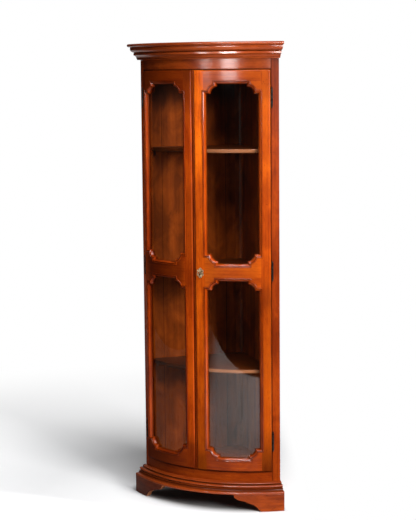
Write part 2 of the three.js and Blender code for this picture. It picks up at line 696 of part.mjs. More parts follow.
function doorLeafPlate(spare) {
  const height = DOOR_KNUCKLE + 2 * spare;
  const geometry = new THREE.BoxGeometry(DOOR_LEAF_REACH + spare, height, LEAF_THICKNESS + 2 * spare);
  return geometry.translate(-(DOOR_LEAF_REACH + spare) / 2, 0, 0).rotateY(-DOOR_LEAF_TURN);
}

function doorLeafShape() {
  const half = DOOR_KNUCKLE / 2;
  const bore = barrel(PIN_RADIUS + PIN_CLEARANCE, -half - 1, half + 1);
  return solid(doorLeafPlate(0)).add(barrel(KNUCKLE_RADIUS, -half, half)).subtract(bore);
}

function frameLeafSlot(z) {
  const plateHigh = BARREL_END - 2;
  const depth = LEAF_DEPTH + SEAT;
  const geometry = new THREE.BoxGeometry(LEAF_THICKNESS + 2 * SEAT, 2 * (plateHigh + SEAT), depth);
  return stand(geometry.translate(0, 0, -depth / 2), HINGE_ANGLE, HINGE_OUT, z);
}

function doorLeafSlot(z) {
  return stand(doorLeafPlate(SEAT), HINGE_ANGLE, HINGE_OUT, z);
}

// A hinge part in its local axes, stood on the right-hand hinge line with its middle on the floor.
function onHingeLine(shape) {
  const { vertProperties, triVerts } = shape.getMesh();
  const geometry = new THREE.BufferGeometry();
  geometry.setAttribute('position', new THREE.BufferAttribute(vertProperties, 3));
  geometry.setIndex(new THREE.BufferAttribute(triVerts, 1));
  return stand(geometry, HINGE_ANGLE, HINGE_OUT, 0);
}

// ---------------------------------------------------------------- lock and bolts
const LOCK_TIP = -LOCK_INSET + LOCK_BOLT_INSET; // tip of the drawn bolt, from the lock's centre

// A box at the lock: from one side to the other of its centre, and between two depths.
function lockBox(left, right, height, inner, outer) {
  const geometry = new THREE.BoxGeometry(right - left, height, outer - inner);
  const middle = (inner + outer) / 2;
  return stand(geometry.translate((left + right) / 2, 0, 0), LOCK_ANGLE, middle, LOCK_HEIGHT);
}

function caseRecess() {
  const half = CASE_WIDTH / 2 + SEAT;
  return lockBox(-half, half, CASE_HEIGHT + 2 * SEAT, DOOR_BACK - CASE_DEPTH, CASE_FRONT + SEAT);
}

function lockBoltSpace(left, right) {
  const half = LOCK_BOLT_THICKNESS / 2 + SLIDE_CLEARANCE;
  const height = LOCK_BOLT_HEIGHT + 2 * SLIDE_CLEARANCE;
  return lockBox(left, right, height, LOCK_BOLT_OUT - half, LOCK_BOLT_OUT + half);
}

function lockBoltSlot() {
  return lockBoltSpace(-2 * LOCK_INSET, 0);
}

function lockMortise() {
  return lockBoltSpace(LOCK_TIP - LOCK_THROW - 1, LOCK_TIP);
}

// The keyhole, a round hole over a slot, from the middle of the bolt's space outward.
function keyhole(outer) {
  const inner = LOCK_BOLT_OUT;
  const depth = outer - inner;
  const middle = (inner + outer) / 2;
  const round = new THREE.CylinderGeometry(KEYHOLE_RADIUS, KEYHOLE_RADIUS, depth, BAR_SIDES);
  const slot = new THREE.BoxGeometry(KEYHOLE_RADIUS, KEYHOLE_DROP, depth).translate(0, -KEYHOLE_DROP / 2, 0);
  return stand(round.rotateX(Math.PI / 2), LOCK_ANGLE, middle, LOCK_HEIGHT)
    .add(stand(slot, LOCK_ANGLE, middle, LOCK_HEIGHT));
}

function lockCase() {
  const half = CASE_WIDTH / 2;
  const body = lockBox(-half, half, CASE_HEIGHT, DOOR_BACK, CASE_FRONT);
  const end = LOCK_TIP + LOCK_BOLT_LENGTH + SLIDE_CLEARANCE;
  return body.subtract(lockBoltSpace(-2 * CASE_WIDTH, end)).subtract(keyhole(DOOR_PROUD));
}

function lockBolt() {
  const half = LOCK_BOLT_THICKNESS / 2;
  const right = LOCK_TIP + LOCK_BOLT_LENGTH;
  return lockBox(LOCK_TIP, right, LOCK_BOLT_HEIGHT, LOCK_BOLT_OUT - half, LOCK_BOLT_OUT + half);
}

// Cartouche-shaped plate round the keyhole: a crest, two shoulders and a drop, the same on both sides.
function escutcheon() {
  const w = ESCUTCHEON_WIDTH / 2;
  const h = ESCUTCHEON_HEIGHT / 2;
  const shape = new THREE.Shape();
  shape.moveTo(0, h);
  const right = [
    [0.1, 0.85, 0.32, 0.8], [0.5, 0.74, 0.42, 0.58], [0.9, 0.7, 0.95, 0.38], [0.98, 0.16, 0.62, 0.12],
    [1.0, 0.02, 0.98, -0.26], [0.94, -0.56, 0.46, -0.5], [0.52, -0.78, 0.3, -0.84], [0.12, -0.88, 0, -1],
  ];
  for (const [cx, cz, x, z] of right) shape.quadraticCurveTo(cx * w, cz * h, x * w, z * h);
  const left = [...right].reverse();
  left.forEach(([cx, cz], i) => {
    const [x, z] = i + 1 < left.length ? left[i + 1].slice(2) : [0, 1];
    shape.quadraticCurveTo(-cx * w, cz * h, -x * w, z * h);
  });
  const settings = { depth: ESCUTCHEON_THICKNESS, bevelEnabled: false, curveSegments: 3 };
  const plate = new THREE.ExtrudeGeometry(shape, settings);
  const angle = meetingEdge(1) + ESCUTCHEON_INSET / FACE_RADIUS;
  const centre = LOCK_HEIGHT + ESCUTCHEON_HEIGHT_ABOVE_LOCK;
  return stand(plate, angle, DOOR_PROUD + SEAT, centre).subtract(keyhole(2 * DOOR_THICKNESS));
}

// A bolt drawn back behind the left door; `way` is 1 for the one that shoots up, -1 for the one down.
function shootBolt(way) {
  const tip = way > 0 ? BOLT_REST_TOP : BOLT_REST_LOW;
  const length = GUIDE_INSET + GUIDE_LENGTH + BOLT_TAIL;
  const tail = tip - way * length;
  const end = tail - way * BOLT_KNOB_LENGTH;
  const rod = standBar(BOLT_RADIUS, Math.min(tip, end), Math.max(tip, end), BOLT_ANGLE, BOLT_OUT);
  return rod.add(standBar(BOLT_KNOB_RADIUS, Math.min(tail, end), Math.max(tail, end), BOLT_ANGLE, BOLT_OUT));
}

function boltGuide(way) {
  const tip = way > 0 ? BOLT_REST_TOP : BOLT_REST_LOW;
  const middle = tip - way * (GUIDE_INSET + GUIDE_LENGTH / 2);
  const block = standBox(GUIDE_WIDTH, GUIDE_LENGTH, GUIDE_DEPTH, BOLT_ANGLE, BOLT_OUT, middle);
  return block.subtract(boltHole(middle - GUIDE_LENGTH, middle + GUIDE_LENGTH));
}

// ---------------------------------------------------------------- assembly
function raised(mesh, z) {
  mesh.position.z = z;
  return mesh;
}

function carcass() {
  const holder = group(
    part('rear_corner_post', rearPost(), DARK_WOOD),
    part('ceiling_board', ceilingBoard(), DARK_WOOD),
    part('bottom_board', bottomBoard(), DARK_WOOD),
    raised(part('upper_shelf', shelf(), WOOD), UPPER_SHELF_HEIGHT),
    raised(part('middle_shelf', shelf(), WOOD), MIDDLE_RAIL_HEIGHT - SHELF_THICKNESS / 2),
    raised(part('lower_shelf', shelf(), WOOD), LOWER_SHELF_HEIGHT),
    part('frieze_rail', frontRail(FRIEZE_LOW, CORNICE_LOW - SEAT), WOOD),
    part('bottom_rail', bottomRail(), WOOD),
    part('top_panel', topPanel(), WOOD),
    part('cornice', cornice(), WOOD),
    part('base_moulding', baseMoulding(), WOOD),
  );
  for (const [side, word] of SIDES) {
    holder.add(
      part(`${word}_back_panel`, backPanel(side), DARK_WOOD),
      part(`${word}_stile`, stile(side), WOOD),
      part(`${word}_foot`, foot(side), WOOD),
      raised(part(`upper_${word}_cleat`, cleat(side), DARK_WOOD), UPPER_SHELF_HEIGHT),
      raised(part(`lower_${word}_cleat`, cleat(side), DARK_WOOD), LOWER_SHELF_HEIGHT),
    );
  }
  return holder;
}

function door(side, word) {
  const openings = doorOpenings(side);
  const [lower, upper] = openings;
  const reach = 2 * (CORNER_STEP + CORNER_ROUND);
  const rail = (low, high, cut) => sided(side, doorRail(low, high, cut));
  return group(
    part(`${word}_hinge_stile`, sided(side, hingeStile(openings)), WOOD),
    part(`${word}_meeting_stile`, meetingStile(side, openings), WOOD),
    part(`${word}_top_rail`, rail(upper.high - reach, DOOR_TOP + 1, [upper]), WOOD),
    part(`${word}_middle_rail`, rail(lower.high - reach, upper.low + reach, openings), WOOD),
    part(`${word}_bottom_rail`, rail(DOOR_LOW - 1, lower.low + reach, [lower]), WOOD),
    part(`${word}_upper_glass`, sided(side, pane(upper)), GLASS),
    part(`${word}_lower_glass`, sided(side, pane(lower)), GLASS),
    part(`${word}_upper_moulding`, sided(side, glazingMoulding(upper)), WOOD),
    part(`${word}_lower_moulding`, sided(side, glazingMoulding(lower)), WOOD),
  );
}

// Three pairs of leaves up each side of the cabinet.
function hinges() {
  const holder = new THREE.Group();
  const frameLeaf = onHingeLine(frameLeafShape());
  const doorLeaf = onHingeLine(doorLeafShape());
  for (const [side, word] of SIDES) {
    HINGE_HEIGHTS.forEach((z, i) => {
      const name = `${word}_${['bottom', 'middle', 'top'][i]}_hinge`;
      holder.add(
        raised(part(`${name}_frame_leaf`, sided(side, frameLeaf), IRON), z),
        raised(part(`${name}_door_leaf`, sided(side, doorLeaf), IRON), z),
      );
    });
  }
  return holder;
}

function locks() {
  return group(
    part('lock_case', lockCase(), IRON),
    part('lock_bolt', lockBolt(), BRASS),
    part('escutcheon', escutcheon(), BRASS),
    part('top_bolt', shootBolt(1), BRASS),
    part('top_bolt_guide', boltGuide(1), BRASS),
    part('bottom_bolt', shootBolt(-1), BRASS),
    part('bottom_bolt_guide', boltGuide(-1), BRASS),
  );
}

const SIDES = [[-1, 'left'], [1, 'right']];
const cabinet = group(
  carcass(),
  ...SIDES.map(([side, word]) => door(side, word)),
  part('meeting_bead', meetingBead(), WOOD),
  hinges(),
  locks(),
);

export default cabinet;
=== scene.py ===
import math
import random

import bmesh
import bpy
from mathutils import Matrix, Vector

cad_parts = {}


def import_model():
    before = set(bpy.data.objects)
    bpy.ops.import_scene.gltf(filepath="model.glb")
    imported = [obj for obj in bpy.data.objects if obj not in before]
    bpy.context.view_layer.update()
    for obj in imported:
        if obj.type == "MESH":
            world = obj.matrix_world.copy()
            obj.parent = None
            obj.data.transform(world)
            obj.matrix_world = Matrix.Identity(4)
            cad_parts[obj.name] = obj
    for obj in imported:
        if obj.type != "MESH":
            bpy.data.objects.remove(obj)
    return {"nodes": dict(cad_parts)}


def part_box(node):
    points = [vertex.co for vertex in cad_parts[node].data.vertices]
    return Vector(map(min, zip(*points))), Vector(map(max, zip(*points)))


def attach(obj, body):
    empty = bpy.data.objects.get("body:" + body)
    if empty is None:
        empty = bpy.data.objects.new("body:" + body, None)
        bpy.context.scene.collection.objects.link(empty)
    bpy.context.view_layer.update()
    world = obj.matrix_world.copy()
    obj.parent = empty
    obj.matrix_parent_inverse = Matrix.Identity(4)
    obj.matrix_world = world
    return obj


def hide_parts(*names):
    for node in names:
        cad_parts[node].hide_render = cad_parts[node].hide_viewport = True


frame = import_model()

SCENE = bpy.context.scene

# ------------------------------ camera
CAMERA_PLACE = Vector((2.688, -5.4313, 1.7655))
CAMERA_AZIMUTH = math.radians(26.708)
CAMERA_PITCH = math.radians(7.159)
CAMERA_ROLL = math.radians(-0.528)
CAMERA_LENS = 101.363  # in mm, as the sensor's width is
CAMERA_SENSOR = 36
CAMERA_REACH = 60


def heading(azimuth, elevation):
    """A direction out from the cabinet: azimuth 0 is straight in front, and it turns towards +X."""
    level = math.cos(elevation)
    return Vector((math.sin(azimuth) * level, -math.cos(azimuth) * level, math.sin(elevation)))


def make_camera():
    data = bpy.data.cameras.new("camera")
    data.lens = CAMERA_LENS
    data.sensor_width = CAMERA_SENSOR
    data.clip_end = CAMERA_REACH
    camera = bpy.data.objects.new("camera", data)
    SCENE.collection.objects.link(camera)
    back = heading(CAMERA_AZIMUTH, CAMERA_PITCH)
    right = Vector((math.cos(CAMERA_AZIMUTH), math.sin(CAMERA_AZIMUTH), 0))
    turn = Matrix((right, back.cross(right), back)).transposed() @ Matrix.Rotation(CAMERA_ROLL, 3, "Z")
    camera.matrix_world = Matrix.Translation(CAMERA_PLACE) @ turn.to_4x4()
    SCENE.camera = camera


make_camera()
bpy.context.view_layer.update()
SCENE.view_settings.view_transform = "Standard"


def heights(node):
    """The lowest and the highest level of a CAD node."""
    return [corner.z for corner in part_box(node)]


# ------------------------------ sizes, in metres
FACE = 0.490  # radius of the frame's bowed face
DOOR = 0.498  # radius of the doors' bowed face; distances along the bow are measured on it
PROUD = DOOR - FACE
AXIS_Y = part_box("frieze_rail")[0].y + FACE
CORNER_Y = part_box("rear_corner_post")[1].y
WALL = math.pi / 4  # the turn of each wall plane
FRAME_BACK = -0.022  # back of the frame's boards, out from its face
DOOR_BACK = PROUD - 0.022
DOOR_LOW, DOOR_TOP = heights("right_hinge_stile")
LEAF_GAP = 0.001  # between the right door and the closing bead
MEETING_OFFSET = 0.0065  # the doors meet this far left of the middle
BEAD = 0.009  # width of the bead that closes the doors' joint
SEAT = 0.0003  # between the bead and the door that it is planted on
FRAME_STILE = 0.034  # on the frame's face
FRAME_GAP = 0.0015  # between a door and the frame's stile
HINGE_STILE = 0.0495  # of the right door, from its edge to the glass in sight
RIGHT_MEETING_STILE = 0.051
LEFT_MEETING_STILE = 0.046
TOP_RAIL = 0.056
MIDDLE_RAIL = 0.072
BOTTOM_RAIL = 0.058
MIDDLE_HEIGHT = 0.978
GLASS_FRONT = -0.005
GLASS_THICKNESS = 0.003
GLASS_HOLD = 0.006  # how far the glass reaches past the boards' edges
LAP = 0.008  # how far a glazing moulding reaches over the stiles and rails inside
RIM = 0.006  # how much farther it reaches on their faces
STEP = 0.011  # the opening's corner: the drop to its round, the round's radius, and the ledge beside it
ROUND = 0.028
LEDGE = 0.019
EASE = 0.0055  # rounding of a door's outer edges
SLICE = 0.006  # a board is divided so often along the bow
FOOT_FRONT = 0.048
SHELF_FRONT = -0.030
SHELF_SPACE = 0.0083  # between a shelf's ends and the wall planes, where the backs stand
BOW_STEPS = 90
SHELF_STEPS = 72


def wall_angle(out):
    """Angle at which a circle round the bow's axis meets the right-hand wall plane."""
    return WALL + math.asin((CORNER_Y - AXIS_Y) * math.sin(WALL) / (FACE + out))


CORNER = wall_angle(0) * DOOR
STILE_EDGE = CORNER - FRAME_STILE * DOOR / FACE
DOOR_EDGE = STILE_EDGE - FRAME_GAP


def leaf_edge(side):
    """Where a door's meeting edge lies, counted outward from the middle on the door's own side."""
    edge = LEAF_GAP / 2 - side * MEETING_OFFSET
    return edge if side > 0 else edge + BEAD + SEAT


SIGHT_WIDTH = DOOR_EDGE - leaf_edge(1) - HINGE_STILE - RIGHT_MEETING_STILE


def openings(side):
    """The glass in sight of one door as (inner, outer, low, high), with s counted outward from the middle."""
    inner = leaf_edge(side) + (RIGHT_MEETING_STILE if side > 0 else LEFT_MEETING_STILE)
    outer = inner + SIGHT_WIDTH
    return {
        "lower": (inner, outer, DOOR_LOW + BOTTOM_RAIL, MIDDLE_HEIGHT - MIDDLE_RAIL / 2),
        "upper": (inner, outer, MIDDLE_HEIGHT + MIDDLE_RAIL / 2, DOOR_TOP - TOP_RAIL),
    }


def bent(s, out, z):
    """A point of the flat drawing wrapped round the bow: s along it, out in front of the frame's face."""
    angle = s / DOOR
    radius = FACE + out
    return Vector((radius * math.sin(angle), AXIS_Y - radius * math.cos(angle), z))


def flat(node):
    """The corners of the box that holds a CAD node in the flat drawing: s along the bow, out and z."""
    mesh = frame["nodes"][node]
    points = [mesh.matrix_world @ v.co for v in mesh.data.vertices]
    drawn = [
        (math.atan2(p.x, AXIS_Y - p.y) * DOOR, math.hypot(p.x, p.y - AXIS_Y) - FACE, p.z) for p in points
    ]
    return [Vector([pick(values) for values in zip(*drawn)]) for pick in (min, max)]


# ------------------------------ materials
class Nodes:
    """The node tree of a material or a world, with short ways to add to it."""

    def __init__(self, owner, output="ShaderNodeOutputMaterial"):
        owner.use_nodes = True
        self.owner = owner
        self.tree = owner.node_tree
        self.tree.nodes.clear()
        self.output = self.add(output)

    def add(self, kind, inputs=None, **settings):
        """A node. inputs are numbers, colours, vectors or outputs to link, by the socket's name or number."""
        node = self.tree.nodes.new(kind)
        for key, value in settings.items():
            setattr(node, key, value)
        for key, value in (inputs or {}).items():
            socket = node.inputs[key]
            if isinstance(value, bpy.types.NodeSocket):
                self.tree.links.new(value, socket)
            elif socket.type == "RGBA":
                socket.default_value = (*value, 1)
            else:
                socket.default_value = value
        return node

    def out(self, kind, inputs=None, **settings):
        """The first output of a new node."""
        return self.add(kind, inputs, **settings).outputs[0]

    def finish(self, shader):
        self.tree.links.new(shader, self.output.inputs[0])
        return self.owner

    def mark(self, name, output="Fac"):
        """A point attribute that the mesh code paints."""
        return self.add("ShaderNodeAttribute", attribute_name=name).outputs[output]

    def place(self):
        return self.add("ShaderNodeTexCoord").outputs["Object"]

    def axes(self, vector):
        return self.add("ShaderNodeSeparateXYZ", {0: vector}).outputs

    def stretched(self, source, scale, offset=(0, 0, 0)):
        return self.out("ShaderNodeMapping", {"Vector": source, "Scale": scale, "Location": offset})

    def noise(self, vector, detail, rough, distortion=0.0, scale=1):
        return self.add("ShaderNodeTexNoise", {
            "Vector": vector, "Scale": scale, "Detail": detail, "Roughness": rough, "Distortion": distortion,
        }).outputs["Fac"]

    def ramp(self, factor, stops):
        node = self.add("ShaderNodeValToRGB", {"Fac": factor})
        elements = node.color_ramp.elements
        while len(elements) < len(stops):
            elements.new(0.5)
        for element, (place, colour) in zip(elements, stops):
            element.position = place
            element.color = (*colour, 1)
        return node.outputs["Color"]

    def math(self, operation, a, b=0.0):
        return self.out("ShaderNodeMath", {0: a, 1: b}, operation=operation)

    def times(self, a, b):
        return self.math("MULTIPLY", a, b)

    def total(self, *terms):
        """The sum of (value, weight) pairs."""
        parts = [self.times(value, weight) for value, weight in terms]
        result = parts[0]
        for part in parts[1:]:
            result = self.math("ADD", result, part)
        return result

    def mix(self, factor, a, b):
        return self.add("ShaderNodeMix", {0: factor, 6: a, 7: b}, data_type="RGBA").outputs[2]

    def blend(self, factor, low, high):
        """A mix of two numbers."""
        return self.out("ShaderNodeMix", {0: factor, 2: low, 3: high}, data_type="FLOAT")

    def smooth(self, value, near, far, low, high):
        """low at near and high at far, with a smooth run between them."""
        inputs = {"Value": value, "From Min": near, "From Max": far, "To Min": low, "To Max": high}
        return self.out("ShaderNodeMapRange", inputs, interpolation_type="SMOOTHSTEP")

    def bump(self, height, strength, distance):
        return self.out("ShaderNodeBump", {"Height": height, "Strength": strength, "Distance": distance})


BLUES = (0.0004, 0.0007, 0.0011, 0.0020)
WOOD_STOPS = (0.38, 0.47, 0.53, 0.62)  # where a wood's four tones lie in its pattern
BACK_STOPS = (0.36, 0.46, 0.54, 0.64)
DARK_TONE_SHARE = 0.14  # the colour of stains, flecks and painted shade, as a share of the wood's darkest tone
# bare wood on the feet's sawn ends, and the painted highlight on the shelves' edges
BARE_AND_HIGHLIGHT_TONES = ((0.40, 0.13, 0.05), (0.60, 0.26, 0.12))
BACK_BOARD = 0.094  # width of one board of the backs, and the share of it up to its joint
BACK_JOINT = 0.488


def darker(tone, share):
    return tuple(value * share for value in tone)


def wood(name, reds, greens, blues=BLUES, *, rough, coat, grain_bump, shades=(0.0, 0.0), coat_rough=0.20):
    """Lacquered wood with fine flecks and specks over slow mottling, darkened by stains and painted shade.

    Its four tones, from dark to light, are given as their reds, greens and blues. shades are how far painted
    shade darkens it towards the top and the foot of the doors. The mesh paints the darkening, where the wood
    is darker and dull, the bare wood and painted highlight, and polish."""
    n = Nodes(bpy.data.materials.new(name))
    tones = list(zip(reds, greens, blues))
    vector = n.mark("grain", "Vector")
    streaks = n.noise(n.stretched(vector, (150, 150, 4)), 5, 0.6, 0.3)
    flecks = n.noise(n.stretched(vector, (420, 420, 45)), 3, 0.55)
    cloud = n.noise(n.stretched(vector, (16, 16, 9)), 4, 0.55, 0.6)
    slow = n.noise(n.stretched(vector, (4, 4, 2.6)), 2, 0.5)
    specks = n.noise(n.stretched(vector, (190, 190, 170)), 1, 0.4)
    pattern = n.total((streaks, 0.30), (cloud, 0.32), (slow, 0.38))
    colour = n.ramp(pattern, list(zip(WOOD_STOPS, tones)))
    dark_tone = darker(tones[0], DARK_TONE_SHARE)
    fleck_mask = n.ramp(flecks, [(0.30, (1, 1, 1)), (0.50, (0, 0, 0))])
    colour = n.mix(n.times(fleck_mask, 0.28), colour, dark_tone)
    speck_mask = n.ramp(specks, [(0.735, (0, 0, 0)), (0.765, (1, 1, 1))])
    colour = n.mix(n.times(speck_mask, 0.75), colour, dark_tone)
    height = n.axes(n.place())["Z"]
    # painted shade: darker towards the doors' top, under the cornice, and towards their foot
    top_shade = n.smooth(height, DOOR_TOP - 0.20, DOOR_TOP + 0.01, 0.0, shades[0])
    foot_shade = n.smooth(height, DOOR_LOW + 0.18, DOOR_LOW + 0.05, 0.0, shades[1])
    colour = n.mix(n.math("ADD", top_shade, foot_shade), colour, dark_tone)
    # the darkening mark: stains in hollows, and painted shade in recesses, in gaps and away from the lamps
    glaze = n.mark("glaze")
    colour = n.mix(n.times(glaze, 0.85), colour, dark_tone)
    colour = n.mix(n.mark("raw"), colour, n.mix(streaks, *BARE_AND_HIGHLIGHT_TONES))
    pores = n.math("SUBTRACT", n.times(streaks, 0.4), n.times(fleck_mask, 0.4))
    polish = n.math("ADD", n.times(n.mark("polish"), 0.3), coat)
    return n.finish(n.out("ShaderNodeBsdfPrincipled", {
        "Base Color": colour, "Roughness": n.blend(cloud, rough - 0.07, rough + 0.09),
        "Normal": n.bump(pores, grain_bump, 0.0003), "Specular IOR Level": 0.03, "Coat Roughness": coat_rough,
        "Coat Weight": n.times(polish, n.math("SUBTRACT", 1, glaze)),
    }))


def back_wood(name, turn, reds, greens, blues, gloss, shade):
    """Stained boards standing side by side along a wall: `turn` brings the wall onto the X axis.

    shade is how much painted shadow darkens the top of the wall."""
    n = Nodes(bpy.data.materials.new(name))
    tones = list(zip(reds, greens, blues))
    vector = n.out("ShaderNodeMapping", {"Vector": n.place(), "Rotation": (0, 0, turn)})
    axes = n.axes(vector)
    place = n.math("DIVIDE", axes["X"], BACK_BOARD)
    number = n.math("FLOOR", place)
    streaks = n.noise(n.stretched(vector, (45, 45, 1.4)), 6, 0.6, 0.3)
    cloud = n.noise(n.stretched(vector, (10, 10, 6)), 4, 0.6, 1.0)
    tint = n.out("ShaderNodeTexWhiteNoise", {"W": number}, noise_dimensions="1D")
    pattern = n.total((streaks, 0.35), (cloud, 0.5), (tint, 0.14))
    colour = n.ramp(pattern, list(zip(BACK_STOPS, tones)))
    from_middle = n.math("ABSOLUTE", n.math("SUBTRACT", n.math("SUBTRACT", place, number), 0.5))
    off_joint = n.math("LESS_THAN", from_middle, BACK_JOINT)
    colour = n.mix(off_joint, darker(tones[0], 0.5), colour)
    # painted shadow under the head of the cabinet
    top_shade = n.smooth(axes["Z"], DOOR_TOP - 0.19, DOOR_TOP - 0.08, 0.0, shade)
    colour = n.mix(top_shade, colour, darker(tones[0], 0.1))
    relief = n.math("ADD", n.times(streaks, 0.4), off_joint)
    return n.finish(n.out("ShaderNodeBsdfPrincipled", {
        "Base Color": colour, "Roughness": n.blend(cloud, 0.38, 0.58), "Normal": n.bump(relief, 0.3, 0.0008),
        "Specular IOR Level": gloss,
    }))


def glass(name):
    """Clear sheet that reflects more at a grazing view, from its outer faces only."""
    n = Nodes(bpy.data.materials.new(name))
    clear = n.out("ShaderNodeBsdfTransparent", {"Color": (0.97, 0.975, 0.965)})
    shine = n.out("ShaderNodeBsdfGlossy", {"Roughness": 0.02})
    fresnel = n.out("ShaderNodeFresnel", {"IOR": 1.5})
    rear = n.add("ShaderNodeNewGeometry").outputs["Backfacing"]
    both_faces = n.math("MINIMUM", n.times(fresnel, 1.9), 1.0)
    amount = n.times(both_faces, n.math("SUBTRACT", 1, rear))
    return n.finish(n.out("ShaderNodeMixShader", {0: amount, 1: clear, 2: shine}))


def metal(name, patch, dark, light, rough, pitting):
    """Aged metal: patchy tone and roughness with fine pitting."""
    n = Nodes(bpy.data.materials.new(name))
    patches = n.noise(n.place(), 4, 0.6, scale=patch)
    pits = n.noise(n.place(), 2, 0.5, scale=900)
    return n.finish(n.out("ShaderNodeBsdfPrincipled", {
        "Base Color": n.ramp(patches, [(0.40, dark), (0.60, light)]), "Metallic": 1.0,
        "Roughness": n.blend(patches, rough - 0.1, rough + 0.12), "Normal": n.bump(pits, pitting, 0.0003),
    }))


DOOR_LOOK = {"rough": 0.42, "coat": 0.03, "grain_bump": 0.12}
FRAME_LOOK = {"rough": 0.40, "coat": 0.01, "grain_bump": 0.10, "shades": (0.40, 0.20)}
BEAD_LOOK = {"rough": 0.34, "grain_bump": 0.05, "shades": (0.25, 0.25), "coat_rough": 0.11}
DOOR_WOODS = {
    1: wood("right_door_wood", (0.25, 0.37, 0.47, 0.56), (0.028, 0.048, 0.070, 0.095), **DOOR_LOOK),
    -1: wood("left_door_wood", (0.24, 0.36, 0.46, 0.56), (0.023, 0.040, 0.058, 0.080), **DOOR_LOOK),
}
# The right meeting stile's wood is written far lighter than the door's: painted light.
MEETING_WOODS = {
    1: wood(
        "right_meeting_painted_light_wood", (0.44, 0.65, 0.82, 0.98), (0.053, 0.092, 0.135, 0.185),
        (0.0007, 0.0012, 0.0020, 0.0035), **DOOR_LOOK,
    ),
    -1: DOOR_WOODS[-1],
}
# One wood in two copies: darker on the right as painted shade, lighter on the left as painted light.
FRAME_WOODS = {
    1: wood("right_frame_painted_shade_wood", (0.11, 0.18, 0.25, 0.33), (0.010, 0.020, 0.030, 0.047), **FRAME_LOOK),
    -1: wood("left_frame_painted_light_wood", (0.23, 0.35, 0.47, 0.60), (0.021, 0.039, 0.056, 0.085), **FRAME_LOOK),
}
CASE_WOOD = wood(
    "case_wood", (0.13, 0.22, 0.31, 0.41), (0.015, 0.029, 0.045, 0.066), (0.0014, 0.0022, 0.0034, 0.0060),
    rough=0.38, coat=0.30, grain_bump=0.10, shades=(0.15, 0.15),
)
MOULDED_WOOD = wood(
    "moulded_wood", (0.22, 0.27, 0.32, 0.38), (0.030, 0.040, 0.050, 0.066), (0.0036, 0.0050, 0.0070, 0.0105),
    rough=0.34, coat=0.50, grain_bump=0.05, coat_rough=0.16,
)
BEAD_WOODS = {
    1: wood("right_bead_wood", (0.19, 0.28, 0.37, 0.46), (0.019, 0.032, 0.046, 0.066), coat=0.7, **BEAD_LOOK),
    -1: wood("left_bead_wood", (0.17, 0.25, 0.33, 0.41), (0.016, 0.027, 0.040, 0.056), coat=0.3, **BEAD_LOOK),
}
SHELF_WOOD = wood(
    "shelf_wood", (0.05, 0.08, 0.11, 0.14), (0.009, 0.015, 0.021, 0.028), (0.0010, 0.0017, 0.0025, 0.0040),
    rough=0.40, coat=0.15, grain_bump=0.2,
)
BACK_BLUES = (0.0016, 0.0030, 0.0046, 0.0075)
# The right wall's boards are written lighter than the left's: painted light where the lamps reach less.
BACK_WOODS = {
    1: back_wood(
        "right_back_painted_light_wood", WALL, (0.17, 0.27, 0.38, 0.50), (0.028, 0.049, 0.073, 0.104), BACK_BLUES,
        gloss=0.08, shade=0.3,
    ),
    -1: back_wood(
        "left_back_wood", -WALL, (0.13, 0.22, 0.31, 0.41), (0.022, 0.038, 0.056, 0.078), BACK_BLUES,
        gloss=0.02, shade=0.8,
    ),
}
GLASS = glass("clear_glass")
IRON = metal("dark_iron", 90, (0.004, 0.004, 0.004), (0.022, 0.020, 0.018), rough=0.46, pitting=0.3)
BRASS = metal("aged_brass", 260, (0.08, 0.042, 0.016), (0.66, 0.50, 0.30), rough=0.36, pitting=0.25)


# ------------------------------ mesh code
RANDOM = random.Random(7)  # shifts the pattern of each piece
TINY = 1e-7  # between points that are the same, and between an edge's middle and the side that it lies on
NEAR = 1e-4
HOLLOW_GAIN = 1.3  # how fast a turn inward, in radians, fills with stains and painted shade
# how dark the painted shade is in a moulding's grooves
GROOVE_SHADE = 0.8


def portion(value, start, end):
    """0 at start and 1 at end, with a straight run between them."""
    return min(1.0, max(0.0, (value - start) / (end - start)))


def slope(value, start, end):
    """0 at start and 1 at end, with a smooth run between them."""
    share = portion(value, start, end)
    return share * share * (3 - 2 * share)


def along(points, place):
    """The value at a place of a run of straight pieces through (place, value) points."""
    for (start, low), (end, high) in zip(points, points[1:]):
        if place < end:
            return low + (high - low) * portion(place, start, end)
    return points[-1][1]


def left_shade(s, amount):
    """Painted shade that deepens towards the cabinet's left end, away from the lamps."""
    return amount * portion(s, -0.08, -0.20)


def rectangle(start, end, low, high):
    return [(start, low), (end, low), (end, high), (start, high)]


def spread(steps):
    """Shares from -1 to 1 in equal steps."""
    return [2 * i / steps - 1 for i in range(steps + 1)]


def finish_mesh(bm, name, material, grain, sharp=28, **marks):
    """Turns a bmesh of flat-drawing points into a bowed object with smooth faces."""
    rows = [tuple(v.co) for v in bm.verts]
    for v in bm.verts:
        v.co = bent(*v.co)
    return store(bm, rows, name, material, grain, sharp, **marks)


def corner_normals(bm, limit):
    """A normal for each face corner: the mean of the faces it runs smoothly into, the larger ones leading."""
    pull = {face: face.normal * face.calc_area() for face in bm.faces}
    normals = {}
    for vert in bm.verts:
        corners = {corner.face: corner for corner in vert.link_loops}
        while corners:
            face, first = corners.popitem()
            fan = [first]
            waiting = [first]
            total = pull[face].copy()
            while waiting:
                corner = waiting.pop()
                for edge in (corner.edge, corner.link_loop_prev.edge):
                    if len(edge.link_faces) != 2 or edge.calc_face_angle() > limit:
                        continue
                    for other in edge.link_faces:
                        if other in corners:
                            near = corners.pop(other)
                            fan.append(near)
                            waiting.append(near)
                            total += pull[other]
            total.normalize()
            for corner in fan:
                normals[corner] = total
    return [normals[corner] for face in bm.faces for corner in face.loops]


